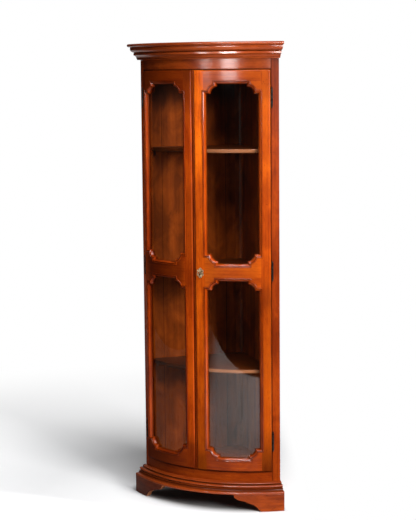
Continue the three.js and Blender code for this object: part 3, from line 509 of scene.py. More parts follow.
def store(bm, rows, name, material, grain, sharp=28, **marks):
    """An object from a bmesh. The grain follows the points in rows, and runs along the axis called grain.

    Each of marks names a point attribute and gives it as a function of the row, or as a list."""
    bmesh.ops.recalc_face_normals(bm, faces=bm.faces)
    normals = corner_normals(bm, math.radians(sharp))
    mesh = bpy.data.meshes.new(name)
    bm.to_mesh(mesh)
    bm.free()
    order = {"s": (1, 2, 0), "z": (0, 1, 2)}[grain]
    shift = [RANDOM.uniform(-5, 5) for _ in range(3)]
    layer = mesh.attributes.new("grain", "FLOAT_VECTOR", "POINT")
    for item, row in zip(layer.data, rows):
        item.vector = [row[axis] + extra for axis, extra in zip(order, shift)]
    for mark, values in marks.items():
        layer = mesh.attributes.new(mark, "FLOAT", "POINT")
        for i, (item, row) in enumerate(zip(layer.data, rows)):
            item.value = values[i] if isinstance(values, list) else values(*row)
    mesh.shade_smooth()
    mesh.set_sharp_from_angle(angle=math.radians(sharp))
    mesh.normals_split_custom_set(normals)
    mesh.materials.append(material)
    obj = bpy.data.objects.new(name, mesh)
    SCENE.collection.objects.link(obj)
    return obj


def hollows(profile):
    """How far each point of a closed profile lies in a hollow, from 0 to 1, whichever way it goes round."""
    points = [Vector(point) for point in profile]
    count = len(points)
    area = sum(points[i - 1].cross(points[i]) for i in range(count))
    values = []
    for i in range(count):
        before = points[i] - points[i - 1]
        after = points[(i + 1) % count] - points[i]
        size = before.length * after.length
        turn = math.asin(max(-1.0, min(1.0, before.cross(after) / size))) if size else 0.0
        values.append(portion(-turn * math.copysign(HOLLOW_GAIN, area), 0, 1))
    return values


def dress(obj, body, slot, *nodes):
    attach(obj, body)
    if nodes:
        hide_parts(*nodes)


def prism(first, last):
    """A bmesh between two copies of an outline, given as lists of points."""
    bm = bmesh.new()
    here = [bm.verts.new(point) for point in first]
    there = [bm.verts.new(point) for point in last]
    bm.faces.new(here)
    bm.faces.new(there)
    for i in range(len(here)):
        k = (i + 1) % len(here)
        bm.faces.new((here[i], here[k], there[k], there[i]))
    return bm


def soften(bm, edges, size, segments):
    """Rounds the edges."""
    bmesh.ops.bevel(
        bm, geom=edges, offset=size, offset_type="OFFSET", segments=segments, profile=0.5, affect="EDGES"
    )


def divide(bm, point, direction):
    """Divides the faces where a plane meets them."""
    everything = [*bm.verts, *bm.edges, *bm.faces]
    bmesh.ops.bisect_plane(bm, geom=everything, plane_co=point, plane_no=direction, dist=TINY)


def board(
    name, outline, back, front, material, grain="z", ease=0.0, eased=None, wall=None,
    cuts=(), carve=None, **marks
):
    """A board of the bow from an (s, z) outline. eased(s, z) picks the front edges to round.

    wall names the end, -1 or 1, that is trimmed on a wall plane. cuts are points of the flat drawing and
    directions at which the faces are divided, and carve(bm) then moves the points of a notch."""
    bm = prism([(s, back, z) for s, z in outline], [(s, front, z) for s, z in outline])
    if ease:
        chosen = []
        for edge in bm.edges:
            if all(abs(v.co.y - front) < TINY for v in edge.verts):
                middle = (edge.verts[0].co + edge.verts[1].co) / 2
                if eased is None or eased(middle.x, middle.z):
                    chosen.append(edge)
        soften(bm, chosen, ease, 4)
    for point, direction in cuts:
        divide(bm, point, direction)
    low = min(s for s, _ in outline)
    high = max(s for s, _ in outline)
    for k in range(math.ceil(low / SLICE), math.floor(high / SLICE) + 1):
        if low + SLICE / 8 < k * SLICE < high - SLICE / 8:
            divide(bm, (k * SLICE, 0, 0), (1, 0, 0))
    if carve:
        carve(bm)
    if wall:
        inner, outer = (low, high) if wall > 0 else (high, low)
        for v in bm.verts:
            share = (v.co.x - inner) / (outer - inner)
            v.co.x = inner + share * (wall * wall_angle(v.co.y) * DOOR - inner)
    return finish_mesh(bm, name, material, grain, **marks)


def skinned(rings, closed):
    """A bmesh over rings of (s, out, z) points, capped at both ends unless the rings close on themselves."""
    bm = bmesh.new()
    verts = [[bm.verts.new(point) for point in ring] for ring in rings]
    count = len(rings[0])
    spans = len(rings) if closed else len(rings) - 1
    for i in range(spans):
        here, there = verts[i], verts[(i + 1) % len(rings)]
        for j in range(count):
            k = (j + 1) % count
            bm.faces.new((here[j], there[j], there[k], here[k]))
    if not closed:
        bm.faces.new(verts[0])
        bm.faces.new(verts[-1])
    return bm


def wall_to_wall(profile):
    """Rings that carry an (out, z) profile along the bow from one wall plane to the other."""
    return [[(share * wall_angle(out) * DOOR, out, z) for out, z in profile] for share in spread(BOW_STEPS)]


def moulding(name, profile, left=0.0, shaded=()):
    """A front moulding from (out, z) points, darkened with painted shade by `left` towards its left end.

    The shaded heights are (low, high) pairs between which painted shade darkens its grooves."""
    rings = wall_to_wall(profile)
    marks = [
        max(mark, GROOVE_SHADE if any(low < z < high for low, high in shaded) else 0.0)
        for mark, (_, z) in zip(hollows(profile), profile)
    ]
    glaze = [max(mark, left_shade(place[0], left)) for ring in rings for mark, place in zip(marks, ring)]
    return finish_mesh(skinned(rings, False), name, MOULDED_WOOD, "s", glaze=glaze)


def arc(centre, radius, start, end, steps):
    """Points of a circle arc in a profile, angles in degrees from +out towards +z; radius may be a pair."""
    wide, high = radius if isinstance(radius, tuple) else (radius, radius)
    points = []
    for i in range(steps + 1):
        angle = math.radians(start + (end - start) * i / steps)
        points.append((centre[0] + wide * math.cos(angle), centre[1] + high * math.sin(angle)))
    return points


# ------------------------------ carcass
DOOR_SHADOW_WIDTH = 0.0045  # width of the painted shadow beside the doors, how near them it is darkest, and how dark
DOOR_SHADOW_CORE = 0.0015
DOOR_SHADOW_DARKNESS = 0.9
CASE_EASE = 0.001


def case_board(name, outline, material, axis, edge, way, tone, cuts=(), **settings):
    """A board of the frame, rounded along its edge beside the doors, where the doors' shadow is painted dark.

    The edge lies at `edge` on an axis, 0 for s and 1 for z, and the board reaches from it the way, -1 or 1.
    tone(s) is the painted shade of the rest of its face."""
    direction = (1 - axis, 0, axis)
    shadow_cut = Vector(direction) * (edge + way * DOOR_SHADOW_WIDTH)

    def gap(s, z):
        return abs((s, z)[axis] - edge)

    def shaded(s, out, z):
        return DOOR_SHADOW_DARKNESS if out < NEAR - CASE_EASE or gap(s, z) < DOOR_SHADOW_CORE else tone(s)

    return board(
        name, outline, FRAME_BACK, 0, material, "zs"[axis], CASE_EASE, lambda s, z: gap(s, z) < NEAR,
        cuts=[(shadow_cut, direction), *cuts], glaze=shaded, **settings,
    )


def cornice():
    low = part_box("cornice")[0].z
    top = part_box("top_panel")[0].z
    profile = [(FRAME_BACK, low), (0.0150, low), (0.0155, low + 0.0055)]
    profile += arc((0.0300, low + 0.0060), (0.0125, 0.0120), 180, 105, 8)
    profile += [(0.0300, low + 0.0195), (0.0300, low + 0.0265), (0.0280, low + 0.0295)]
    profile += arc((0.0310, low + 0.0460), (0.0140, 0.0145), -82, 12, 12)
    profile += [(0.0440, top), (FRAME_BACK, top)]
    return moulding("cornice_profile", profile)


def top_panel():
    low, high = heights("top_panel")
    thickness = high - low
    nose = [(0.045, low), (0.0500, low + 0.0004)]
    nose += arc((0.0510, low + thickness * 0.52), (0.007, thickness * 0.46), -80, 80, 10)
    nose += [(0.0500, high)]
    bm = bmesh.new()
    verts = [[bm.verts.new(bent(*point)) for point in ring] for ring in wall_to_wall(nose)]
    for here, there in zip(verts, verts[1:]):
        for j in range(len(nose) - 1):
            bm.faces.new((here[j], there[j], there[j + 1], here[j + 1]))
    corner_low = bm.verts.new((0, CORNER_Y, low))
    corner_high = bm.verts.new((0, CORNER_Y, high))
    bm.faces.new([ring[0] for ring in verts] + [corner_low])
    bm.faces.new([ring[-1] for ring in verts] + [corner_high])
    bm.faces.new([*verts[0], corner_high, corner_low])
    bm.faces.new([*verts[-1], corner_high, corner_low])
    rows = [tuple(v.co) for v in bm.verts]
    return store(bm, rows, "top_board", MOULDED_WOOD, "s")


def base_moulding():
    z, top = heights("base_moulding")
    profile = [(0.0003, z), (0.0480, z), (0.0480, z + 0.0035)]
    profile += arc((0.0420, z + 0.0038), (0.0060, 0.0055), 10, 80, 5)
    profile += [(0.0370, z + 0.0098), (0.0330, z + 0.0125), (0.0312, z + 0.0165), (0.0325, z + 0.0195)]
    profile += [(0.0283, z + 0.0207)]
    profile += arc((0.0210, z + 0.0275), (0.0095, 0.0058), -60, 75, 9)
    profile += [(0.0140, z + 0.0336)]
    profile += arc((0.0110, z + 0.0375), (0.0060, 0.0035), -60, 80, 8)
    profile += [(0.0080, top - 0.0005), (0.0003, top)]
    # painted shade: darker towards the left end and in two grooves
    return moulding("base_profile", profile, 0.35, [(z + 0.0115, z + 0.0205), (z + 0.0330, z + 0.0345)])


def frieze():
    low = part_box("frieze_rail")[0].z
    outline = rectangle(-STILE_EDGE, STILE_EDGE, low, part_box("cornice")[0].z)
    # painted shade: darker towards the frieze's right end
    return case_board("frieze", outline, CASE_WOOD, 1, low, 1, lambda s: 0.35 * portion(s, 0.12, 0.22))


def bottom_rail():
    """The rail under the doors, with a channel at its back for the bolt."""
    low, high = heights("bottom_rail")
    bolt = flat("bottom_bolt")
    bolt_s = (bolt[0].x + bolt[1].x) / 2
    channel_half = 0.0045
    channel_floor = -0.0165

    def channel(bm):
        for v in bm.verts:
            if abs(v.co.x - bolt_s) < channel_half + NEAR and v.co.y < FRAME_BACK + 0.001:
                v.co.y = channel_floor

    outline = rectangle(-STILE_EDGE, STILE_EDGE, low, high)
    sides = [((bolt_s + way * channel_half, 0, 0), (1, 0, 0)) for way in (-1, 1)]
    # painted shade towards the left end
    return case_board(
        "plinth_rail", outline, FRAME_WOODS[1], 1, high, -1, lambda s: left_shade(s, 0.25), sides,
        carve=channel,
    )


def frame_stile(side, word):
    edge = side * STILE_EDGE
    outline = rectangle(edge, side * CORNER, *heights(f"{word}_stile"))
    name = f"{word}_case_stile"
    return case_board(name, outline, FRAME_WOODS[side], 0, edge, side, lambda s: 0.0, wall=side)


def foot(side, word):
    """A bracket foot: its ogee runs from under the base moulding down to the floor."""
    high = heights(f"{word}_foot")[1]
    scale = DOOR / (FACE + FOOT_FRONT)  # distances below are along the foot's own face
    profile = [
        (0.1690, 0.0705), (0.1694, 0.0650), (0.1712, 0.0595), (0.1745, 0.0560), (0.1787, 0.0543),
        (0.1830, 0.0535), (0.1868, 0.0512), (0.1890, 0.0485), (0.1925, 0.0472), (0.1980, 0.0474),
        (0.2050, 0.0468), (0.2115, 0.0450), (0.2180, 0.0420), (0.2250, 0.0385), (0.2330, 0.0355),
        (0.2410, 0.0330), (0.2480, 0.0302), (0.2540, 0.0272), (0.2600, 0.0235), (0.2650, 0.0190),
        (0.2690, 0.0140), (0.2725, 0.0090), (0.2770, 0.0040), (0.2810, 0.0000),
    ]
    end = wall_angle(FOOT_FRONT) * DOOR
    outline = [(side * s * scale, z) for s, z in profile]
    outline += [(side * end, 0.0), (side * end, high), (side * profile[0][0] * scale, high)]
    sawn_end = profile[-1][0] * scale + 0.001

    def sawn(s, out, z):
        return 1.0 if out < FOOT_FRONT - CASE_EASE and abs(s) < sawn_end else 0.0

    # painted shade towards the left end, and bare wood on the sawn end
    return board(
        f"{word}_bracket_foot", outline, FOOT_FRONT - 0.020, FOOT_FRONT, CASE_WOOD, "s", 0.0012, None, side,
        raw=sawn, glaze=lambda s, out, z: left_shade(s, 0.55),
    )


def shelf(name, node):
    """A flat board under the bow's curve, its long edges rounded."""
    low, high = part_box(node)
    radius = FACE + SHELF_FRONT
    end = wall_angle(SHELF_FRONT) - SHELF_SPACE / radius
    angles = [end * share for share in spread(SHELF_STEPS)]
    outline = [(radius * math.sin(angle), AXIS_Y - radius * math.cos(angle)) for angle in angles]
    half = CORNER_Y - high.y - SHELF_SPACE / math.sin(WALL)
    outline += [(half, high.y), (-half, high.y)]
    bm = prism([(x, y, low.z) for x, y in outline], [(x, y, high.z) for x, y in outline])
    level = [edge for edge in bm.edges if abs(edge.verts[0].co.z - edge.verts[1].co.z) < TINY]
    soften(bm, level, 0.0020, 3)
    rows = [tuple(v.co) for v in bm.verts]
    return store(bm, rows, name, SHELF_WOOD, "s")


def shelf_edge_highlight(name, node):
    """A strip along a shelf's front edge, paler towards the right: a painted highlight."""
    low, high = heights(node)
    out = SHELF_FRONT
    end = (wall_angle(out) - SHELF_SPACE / (FACE + out)) * DOOR
    profile = [
        (out - 0.0010, low + 0.0012), (out, low + 0.0012), (out + 0.0012, low + 0.0030),
        (out + 0.0012, high - 0.0030), (out, high - 0.0012), (out - 0.0010, high - 0.0012),
    ]
    rings = [[(end * share, place, z) for place, z in profile] for share in spread(SHELF_STEPS)]
    # painted highlight: paler towards the right, where the lamps fall
    return finish_mesh(
        skinned(rings, False), name, SHELF_WOOD, "s", raw=lambda s, out, z: 0.6 * portion(s, -0.05, 0.03)
    )


# ------------------------------ doors
# The boards are divided at LEVELS, where their painted shade changes. The stile runs give three stiles'
# painted shade at heights above the doors' foot, and the rail table how much darker each door's rails are,
# partly their own tone and partly painted shade, and the share of that at the door's head.
BESIDE_RAIL = (0, 0.017, 0.033, 0.05)
LEVELS = [DOOR_LOW + step for step in (0.04, 0.065, 0.09, 0.115, 0.14)]
LEVELS += [MIDDLE_HEIGHT + way * (MIDDLE_RAIL / 2 + step) for way in (-1, 1) for step in BESIDE_RAIL]
LEVELS += [DOOR_TOP - step for step in (0.05, 0.08, 0.11, 0.14, 0.17, 0.20)]
STILE_SHADE_RUNS = {
    "right_outer_stile": [
        (0, 1.0), (0.06, 0.86), (0.12, 0.62), (0.19, 0.30), (0.35, 0.32), (0.45, 0.42), (0.58, 0.38),
        (0.66, 0.46), (0.70, 0.66), (0.75, 0.52), (0.80, 0.22), (0.90, 0.04), (1.09, 0.04), (1.16, 0.28),
        (1.22, 0.10), (1.30, 0.24), (1.47, 0.24), (1.53, 0),
    ],
    "right_inner_stile": [
        (0, 1.0), (0.05, 0.97), (0.09, 0.74), (0.29, 0.50), (0.62, 0.28), (1.03, 0.37), (1.35, 0),
        (1.60, 0.20),
    ],
    "left_inner_stile": [
        (0.10, 0.70), (0.15, 0.05), (0.66, 0.05), (0.74, 0.38), (0.95, 0.38), (1.14, 0.42), (1.20, 0.12),
        (1.39, 0.05), (1.49, 0.50), (1.61, 0.92),
    ],
}
RAIL_TONE_AND_SHADE = {1: (0.36, 0.5), -1: (0.78, 1.0)}
TONE_RUN = 0.05  # how far above and below a rail its tone fades; and past its ends, from within them
TONE_PAST = 0.035
TONE_WITHIN = 0.025
SEAM_DEPTH = 0.0029  # how far back, and how high on its foot, painted shade darkens a door's seams
SEAM_FOOT = 0.0035


def near_foot(z, start, end):
    """0 at the height start above the doors' foot and 1 at end."""
    return slope(z, DOOR_LOW + start, DOOR_LOW + end)


def near_head(z, start, end):
    """0 at the depth start below the doors' head and 1 at end."""
    return slope(z, DOOR_TOP - start, DOOR_TOP - end)


def opening_outline(opening, grow, round_steps=12, span_steps=16):
    """The stepped and rounded outline of a glass opening, grown outward, as (s, z) points."""
    inner, outer, low, high = opening
    half_width = (outer - inner) / 2
    half_height = (high - low) / 2
    hub_s = half_width - LEDGE - ROUND
    hub_z = half_height - STEP - ROUND
    radius = ROUND + grow
    start = math.asin(grow / radius)
    quarter = [(hub_s + grow, half_height + grow)]
    for k in range(round_steps + 1):
        turn = start + k / round_steps * (math.pi / 2 - 2 * start)
        quarter.append((hub_s + radius * math.sin(turn), hub_z + radius * math.cos(turn)))
    quarter.append((half_width + grow, hub_z + grow))
    span = [((hub_s + grow) * share, half_height + grow) for share in spread(span_steps)[1:-1]]
    loop = quarter + [(u, -v) for u, v in reversed(quarter)] + [(-u, -v) for u, v in span + quarter]
    loop += [(-u, v) for u, v in reversed(quarter)] + span
    return [((inner + outer) / 2 + u, (low + high) / 2 + v) for u, v in loop]


def rail_edge(opening, upper):
    """The upper or lower edge of an opening under its moulding, from stile to stile."""
    inner, outer, low, high = opening
    middle = (inner + outer) / 2
    centre = (low + high) / 2
    way = 1 if upper else -1
    edge = [(s, z) for s, z in opening_outline(opening, LAP) if (z - centre) * way > 0]
    edge.sort(key=lambda point: math.atan2(point[0] - middle, (point[1] - centre) * way))
    result = []
    for s, z in edge:
        point = (min(max(s, inner - LAP), outer + LAP), z)
        if not result or abs(point[0] - result[-1][0]) + abs(point[1] - result[-1][1]) > 1e-5:
            result.append(point)
    return result


def lock_socket(edge):
    """Cuts and a carve for the pocket in a door's edge that takes the lock's bolt."""
    low, high = flat("lock_bolt")
    low -= Vector((0, 0.0008, 0.0008))
    high += Vector((0, 0.0026, 0.0008))
    depth = 0.007

    def pocket(bm):
        for face in list(bm.faces):
            middle = face.calc_center_median()
            if abs(middle.x - edge) < 1e-5 and low.y < middle.y < high.y and low.z < middle.z < high.z:
                made = bmesh.ops.extrude_discrete_faces(bm, faces=[face])
                bmesh.ops.translate(bm, vec=(-depth, 0, 0), verts=made["faces"][0].verts[:])

    cuts = [((0, 0, corner.z), (0, 0, 1)) for corner in (low, high)]
    cuts += [((0, corner.y, 0), (0, 1, 0)) for corner in (low, high)]
    return {"cuts": cuts, "carve": pocket}


def door(side, word):
    edge = leaf_edge(side)
    glazed = openings(side)
    lower, upper = glazed["lower"], glazed["upper"]
    inner, outer = upper[0] - LAP, upper[1] + LAP

    def rounded(s, z):
        gaps = (side * s - edge, side * s - DOOR_EDGE, z - DOOR_LOW, z - DOOR_TOP)
        return any(abs(gap) < NEAR for gap in gaps)

    def railing(s, z):
        """1 on the rails and 0 on the stiles, running smoothly from one to the other."""
        across = slope(side * s, upper[0] - TONE_PAST, upper[0] + TONE_WITHIN)
        across *= slope(side * s, upper[1] + TONE_PAST, upper[1] - TONE_WITHIN)
        level = max(
            slope(z, lower[2] + TONE_RUN, lower[2]), slope(z, upper[3] - TONE_RUN, upper[3]),
            slope(abs(z - MIDDLE_HEIGHT), MIDDLE_RAIL / 2 + TONE_RUN, MIDDLE_RAIL / 2),
        )
        return across * level

    def face_shade(s, z):
        """The painted shade of a face without a run of its own: on the rails and towards the door's ends."""
        depth, head = RAIL_TONE_AND_SHADE[side]
        rail = railing(s, z)
        value = depth * max(rail, near_foot(z, 0.14, 0.04), head * near_head(z, 0.20, 0.05))
        # painted shade on the stiles towards the foot
        value = max(value, 0.6 * (1 - rail) * near_foot(z, 0.12, 0.02))
        if side > 0:
            return value
        return min(1.0, value + left_shade(s, 0.15) * slope(z, lower[2] + TONE_RUN, lower[2]))

    def polished(s, out, z):
        return 1.0 if PROUD - 0.0025 < out < PROUD - 0.0001 else railing(s, z)

    def member(name, node, outline, grain, material=DOOR_WOODS[side], cuts=(), carve=None):
        run = STILE_SHADE_RUNS.get(f"{word}_{name}")
        levels = LEVELS + [DOOR_LOW + height for height, _ in run or ()]

        def glaze(s, out, z):
            if out < PROUD - SEAM_DEPTH or z < DOOR_LOW + SEAM_FOOT:
                return 1.0
            value = max(along(run, z - DOOR_LOW), RAIL_TONE_AND_SHADE[side][0] * railing(s, z)) if run else face_shade(s, z)
            # painted shade at the right door's head, towards its hinge side
            return max(value, 0.50 * slope(s, 0.13, 0.21) * near_head(z, 0.20, 0.08)) if side > 0 else value

        piece = board(
            f"{word}_{name}", [(side * s, z) for s, z in outline], DOOR_BACK, PROUD, material, grain, EASE,
            rounded, cuts=[((0, 0, z), (0, 0, 1)) for z in levels] + list(cuts), carve=carve,
            glaze=glaze, polish=polished,
        )
        dress(piece, f"{word}_door", "door_wood", f"{word}_{node}")

    member("outer_stile", "hinge_stile", rectangle(outer, DOOR_EDGE, DOOR_LOW, DOOR_TOP), "z")
    notch = {} if side > 0 else lock_socket(side * edge)
    meeting = rectangle(edge, inner, DOOR_LOW, DOOR_TOP)
    member("inner_stile", "meeting_stile", meeting, "z", MEETING_WOODS[side], **notch)
    head = [(inner, DOOR_TOP), *rail_edge(upper, True), (outer, DOOR_TOP)]
    member("head_rail", "top_rail", head, "s")
    between = rail_edge(upper, False) + list(reversed(rail_edge(lower, True)))
    member("lock_rail", "middle_rail", between, "s")
    base = [(inner, DOOR_LOW), *rail_edge(lower, False), (outer, DOOR_LOW)]
    member("foot_rail", "bottom_rail", base, "s")
    for level, opening in glazed.items():
        sheet = pane(f"{word}_{level}_pane", opening, side)
        dress(sheet, f"{word}_door", "glass", f"{word}_{level}_glass")
        trim = glazing_moulding(f"{word}_{level}_bead", opening, side)
        dress(trim, f"{word}_door", "door_wood", f"{word}_{level}_moulding")


def pane(name, opening, side):
    inner, outer, low, high = opening
    hold = LAP + GLASS_HOLD
    outline = rectangle(side * (inner - hold), side * (outer + hold), low - hold, high + hold)
    return board(name, outline, GLASS_FRONT - GLASS_THICKNESS, GLASS_FRONT, GLASS)


def glazing_moulding(name, opening, side):
    """The moulding round a glass, from points of (how far outside the opening, out, darkening by stains and
    painted shade in its quirks and beside the glass).
    """
    rim = LAP + RIM
    skirt = rim + 0.0014
    back = GLASS_FRONT + 0.0003
    nose = arc((rim - 0.0014, PROUD + 0.0008), (0.0014, 0.0018), 0, 180, 8)
    section = [
        (0.0, back, 0), (LAP, back, 0), (LAP, PROUD, 0), (skirt, PROUD, 1), (skirt, PROUD + 0.0002, 1),
        (rim, PROUD + 0.0003, 1),
    ]
    section += [(grow, out, 0) for grow, out in nose]
    section += [
        (0.0110, PROUD + 0.0003, 1), (0.0086, PROUD + 0.0003, 1), (0.0085, PROUD + 0.0015, 0.6),
        (0.0076, PROUD + 0.0015, 0), (0.0064, PROUD + 0.0006, 0), (0.0051, PROUD - 0.0010, 0),
        (0.0036, PROUD - 0.0036, 0), (0.0022, PROUD - 0.0066, 0.2), (0.0010, PROUD - 0.0095, 0.7),
        (0.0000, GLASS_FRONT + 0.0022, 1),
    ]
    outlines = [opening_outline(opening, grow) for grow, _, _ in section]
    rings = []
    for points in zip(*outlines):
        rings.append([(side * s, out, z) for (s, z), (_, out, _) in zip(points, section)])
    glaze = [mark for _, _, mark in section] * len(rings)
    return finish_mesh(skinned(rings, True), name, BEAD_WOODS[side], "z", 34, glaze=glaze)


def meeting_bead():
    """The rounded bead on the left door's edge, which the right door closes against."""
    end = leaf_edge(1) - LEAF_GAP
    start = end - BEAD
    rise = 0.003
    level = -0.0005
    back = flat("lock_bolt")[1].y + 0.0015
    profile = [(start, back), (start, level)]
    profile += reversed(arc(((start + end) / 2, level), (BEAD / 2, rise), 0, 180, 8))
    profile += [(end, back)]
    rings = [[(s, out, z) for s, out in profile] for z in (DOOR_LOW, DOOR_TOP)]
    # painted shade in the doors' joint: the bead's sides dark and its face darkened
    marks = [1.0 if i < 3 or i > 9 else 0.35 for i in range(len(profile))]
    return finish_mesh(skinned(rings, False), "closing_bead", DOOR_WOODS[-1], "z", glaze=marks * len(rings))


def inlay(name, outline, material, dark_tone):
    """A thin plate set through the escutcheon, painted with the shade that its opening shows."""
    return board(name, outline, PROUD - 0.001, PROUD + 0.0021, material, glaze=lambda s, out, z: dark_tone)


def keyhole():
    """A dark plate that paints the shade inside the keyhole, a round over a slot."""
    s = leaf_edge(1) + 0.0215
    z = sum(heights("escutcheon")) / 2 - 0.0055
    radius, slot, foot_drop = 0.0036, 0.0019, 0.0074
    ring = [math.radians(turn) for turn in range(-150, 151, 20)]
    outline = [(s - slot, z - foot_drop)]
    outline += [(s + radius * math.sin(turn), z + radius * math.cos(turn)) for turn in ring]
    outline += [(s + slot, z - foot_drop)]
    return inlay("keyhole_painted_shade", outline, SHELF_WOOD, 1.0)


def piercing():
    """The door seen through the opening beside the keyhole, a tall round with one flat side, darkened as
    painted shade.
    """
    s = leaf_edge(1) + 0.0142
    z = sum(heights("escutcheon")) / 2
    steps = 16
    outline = []
    for k in range(steps):
        turn = 2 * math.pi * k / steps
        wide = 0.0024 * math.cos(turn) + 0.0014 * math.cos(turn * 2)
        outline.append((s + wide, z + 0.0060 * math.sin(turn)))
    return inlay("escutcheon_piercing", outline, DOOR_WOODS[1], 0.35)


# ------------------------------ build
def build():
    for make, node in (
        (cornice, "cornice"), (top_panel, "top_panel"), (base_moulding, "base_moulding"),
        (frieze, "frieze_rail"), (bottom_rail, "bottom_rail"),
    ):
        dress(make(), "carcass", "case_wood", node)
    for side, word in ((-1, "left"), (1, "right")):
        dress(frame_stile(side, word), "carcass", "case_wood", f"{word}_stile")
        dress(foot(side, word), "carcass", "case_wood", f"{word}_foot")
        door(side, word)
    for level in ("upper", "middle", "lower"):
        node = f"{level}_shelf"
        dress(shelf(f"{node}_board", node), "carcass", "interior_wood", node)
        dress(shelf_edge_highlight(f"{node}_lipping", node), "carcass", "interior_wood")
    dress(meeting_bead(), "left_door", "door_wood", "meeting_bead")
    dress(keyhole(), "right_door", "door_wood")
    dress(piercing(), "right_door", "door_wood")
    for name, node in frame["nodes"].items():
        if node.hide_render:
            continue
        if "leaf" in name or name == "lock_case":
            material = IRON
        elif name in ("escutcheon", "lock_bolt", "top_bolt", "bottom_bolt") or "guide" in name:
            material = BRASS
        else:
            material = BACK_WOODS[-1 if "left" in name else 1]
        node.data.materials.clear()
        node.data.materials.append(material)


build()


# ------------------------------ stage
FLOOR_FRONT = 2.85  # the sheet's front edge, across the azimuth FLOOR_TURN, and half its width
FLOOR_TURN = math.radians(38)
FLOOR_SIDE = 3.6
FLOOR_REAR = -60
FLOOR_LIFT = 0.55  # glow of the paper far from the cabinet, close round it, and in front of it
FLOOR_NEAR = 0.12
FLOOR_BEFORE = 0.35
PAPER = (0.97, 0.98, 1.0)  # as the camera sees it, as it lights the cabinet, and under the cabinet, darker as painted shadow
PAPER_BOUNCE = (0.45, 0.45, 0.45)
PAPER_PAINTED_SHADOW = (0.20, 0.20, 0.20)
MIRRORED_LEFT = (0.30, 0.24, 0.22)  # as gloss and glass show it, at the left and at the right
MIRRORED_RIGHT = (0.85, 0.66, 0.62)


def floor_material():
    """Matt white paper. Away from the cabinet the camera, gloss and glass see it fade to plain white."""
    n = Nodes(bpy.data.materials.new("floor_paper"))
    place = n.place()
    axes = n.axes(place)
    path = n.add("ShaderNodeLightPath").outputs
    camera, glossy, through = path["Is Camera Ray"], path["Is Glossy Ray"], path["Is Transmission Ray"]

    def length(vector):
        return n.add("ShaderNodeVectorMath", {0: vector}, operation="LENGTH").outputs["Value"]

    # how far a place lies outside the cabinet's plan: in front of the bow, or beyond either wall
    distance = length(place)
    bow = n.math("SUBTRACT", length(n.stretched(place, (1, 1, 1), (0, -AXIS_Y, 0))), FACE + FOOT_FRONT)
    wall = n.math("ADD", n.math("ABSOLUTE", axes["X"]), axes["Y"])
    wall = n.times(n.math("SUBTRACT", wall, CORNER_Y), math.sin(WALL))
    outside = n.math("MAXIMUM", bow, wall)

    def rise(near, far, high, value=distance):
        return n.smooth(value, near, far, 0.0, high)

    rightward = rise(-0.9, -0.2, 1.0, axes["X"])
    white = n.mix(glossy, PAPER_BOUNCE, n.mix(rightward, MIRRORED_LEFT, MIRRORED_RIGHT))
    white = n.mix(camera, white, PAPER)
    # painted shadow under the cabinet
    colour = n.mix(rise(-0.06, 0.03, 1.0, outside), PAPER_PAINTED_SHADOW, white)
    paper = n.out("ShaderNodeBsdfDiffuse", {"Color": colour})
    seen = n.math("MAXIMUM", n.math("MAXIMUM", camera, glossy), through)
    lift = n.math("MAXIMUM", rise(0.00, 0.10, FLOOR_NEAR, outside), rise(0.30, 1.90, FLOOR_LIFT))
    lift = n.math("MAXIMUM", lift, rise(-0.26, -0.42, FLOOR_BEFORE, axes["Y"]))
    mirrored_left = n.times(glossy, n.math("SUBTRACT", 1, rightward))
    strength = n.times(n.times(seen, lift), n.math("SUBTRACT", 1, mirrored_left))
    glow = n.out("ShaderNodeEmission", {"Strength": strength})
    lit = n.out("ShaderNodeAddShader", {0: paper, 1: glow})
    across = n.total((axes["X"], math.cos(CAMERA_AZIMUTH)), (axes["Y"], math.sin(CAMERA_AZIMUTH)))
    plain = n.math("MAXIMUM", rise(1.7, 3.0, 1.0), rise(0.27, 0.37, 1.0, across))
    shown = n.times(glossy, rise(0.0, 0.6, 1.0, axes["Y"]))
    shown = n.math("MAXIMUM", n.math("MAXIMUM", shown, camera), through)
    fade = n.times(shown, plain)
    return n.finish(n.out("ShaderNodeMixShader", {0: fade, 1: lit, 2: n.out("ShaderNodeEmission")}))


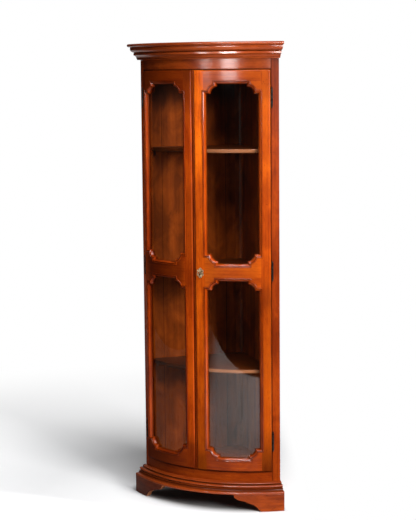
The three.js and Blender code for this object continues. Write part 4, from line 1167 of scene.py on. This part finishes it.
def stage():
    """The floor, a wide sheet that ends on a line across the azimuth FLOOR_TURN in front of the cabinet."""
    ahead = Vector((math.sin(FLOOR_TURN), -math.cos(FLOOR_TURN), 0))
    across = Vector((math.cos(FLOOR_TURN), math.sin(FLOOR_TURN), 0))
    bm = bmesh.new()
    plan = rectangle(-FLOOR_SIDE, FLOOR_SIDE, FLOOR_FRONT, FLOOR_REAR)
    bm.faces.new([bm.verts.new(across * side + ahead * reach) for side, reach in plan])
    mesh = bpy.data.meshes.new("floor")
    bm.to_mesh(mesh)
    bm.free()
    floor = bpy.data.objects.new("floor", mesh)
    SCENE.collection.objects.link(floor)
    floor.data.materials.append(floor_material())


def lamp(name, azimuth, elevation, distance, size, power, colour=(1, 1, 1), height=0.95):
    """A soft box in a direction from the cabinet, azimuth 0 straight in front, facing it at a height."""
    data = bpy.data.lights.new(name, "AREA")
    data.shape = "RECTANGLE"
    data.size, data.size_y = size
    data.energy = power
    data.color = colour
    light = bpy.data.objects.new(name, data)
    SCENE.collection.objects.link(light)
    away = heading(math.radians(azimuth), math.radians(elevation))
    light.location = Vector((0, 0, height)) + away * distance
    light.rotation_euler = away.to_track_quat("Z", "Y").to_euler()
    return light


def gleam(*place, **settings):
    """A soft box that only polished surfaces show."""
    lamp(*place, **settings).visible_diffuse = False


def world(plain, front, above):
    """White to the camera, and behind the cabinet to glass and gloss; `plain` to matt surfaces.

    On the camera's side of the room glass and gloss see `front`, and over the horizon `above`."""
    SCENE.world = bpy.data.worlds.new("studio")
    n = Nodes(SCENE.world, "ShaderNodeOutputWorld")
    direction = n.axes(n.add("ShaderNodeTexCoord").outputs["Generated"])
    path = n.add("ShaderNodeLightPath").outputs
    behind = n.smooth(direction["Y"], 0.45, 0.85, 0.0, 1.0)
    glow = n.smooth(direction["Z"], -0.005, 0.05, front, above)
    mirrored = n.math("MAXIMUM", path["Is Glossy Ray"], path["Is Transmission Ray"])
    strength = n.blend(mirrored, plain, n.blend(behind, glow, 1.0))
    strength = n.blend(path["Is Camera Ray"], strength, 1.0)
    n.finish(n.out("ShaderNodeBackground", {"Color": (1, 1, 1), "Strength": strength}))


stage()
world(0.09, 0.015, 0.035)
lamp("key", 61, 16, 4.4, (1.6, 1.4), 240, (1.0, 0.988, 0.97))
lamp("overhead", 37, 48, 4.0, (1.8, 1.8), 112)
gleam("front_box", 9, 14.5, 4.6, (1.1, 0.6), 170, height=0.90)
gleam("top_box", 14, 64, 3.4, (1.6, 1.2), 110)
gleam("left_box", -15, 14.5, 4.6, (0.7, 0.6), 45, height=0.90)
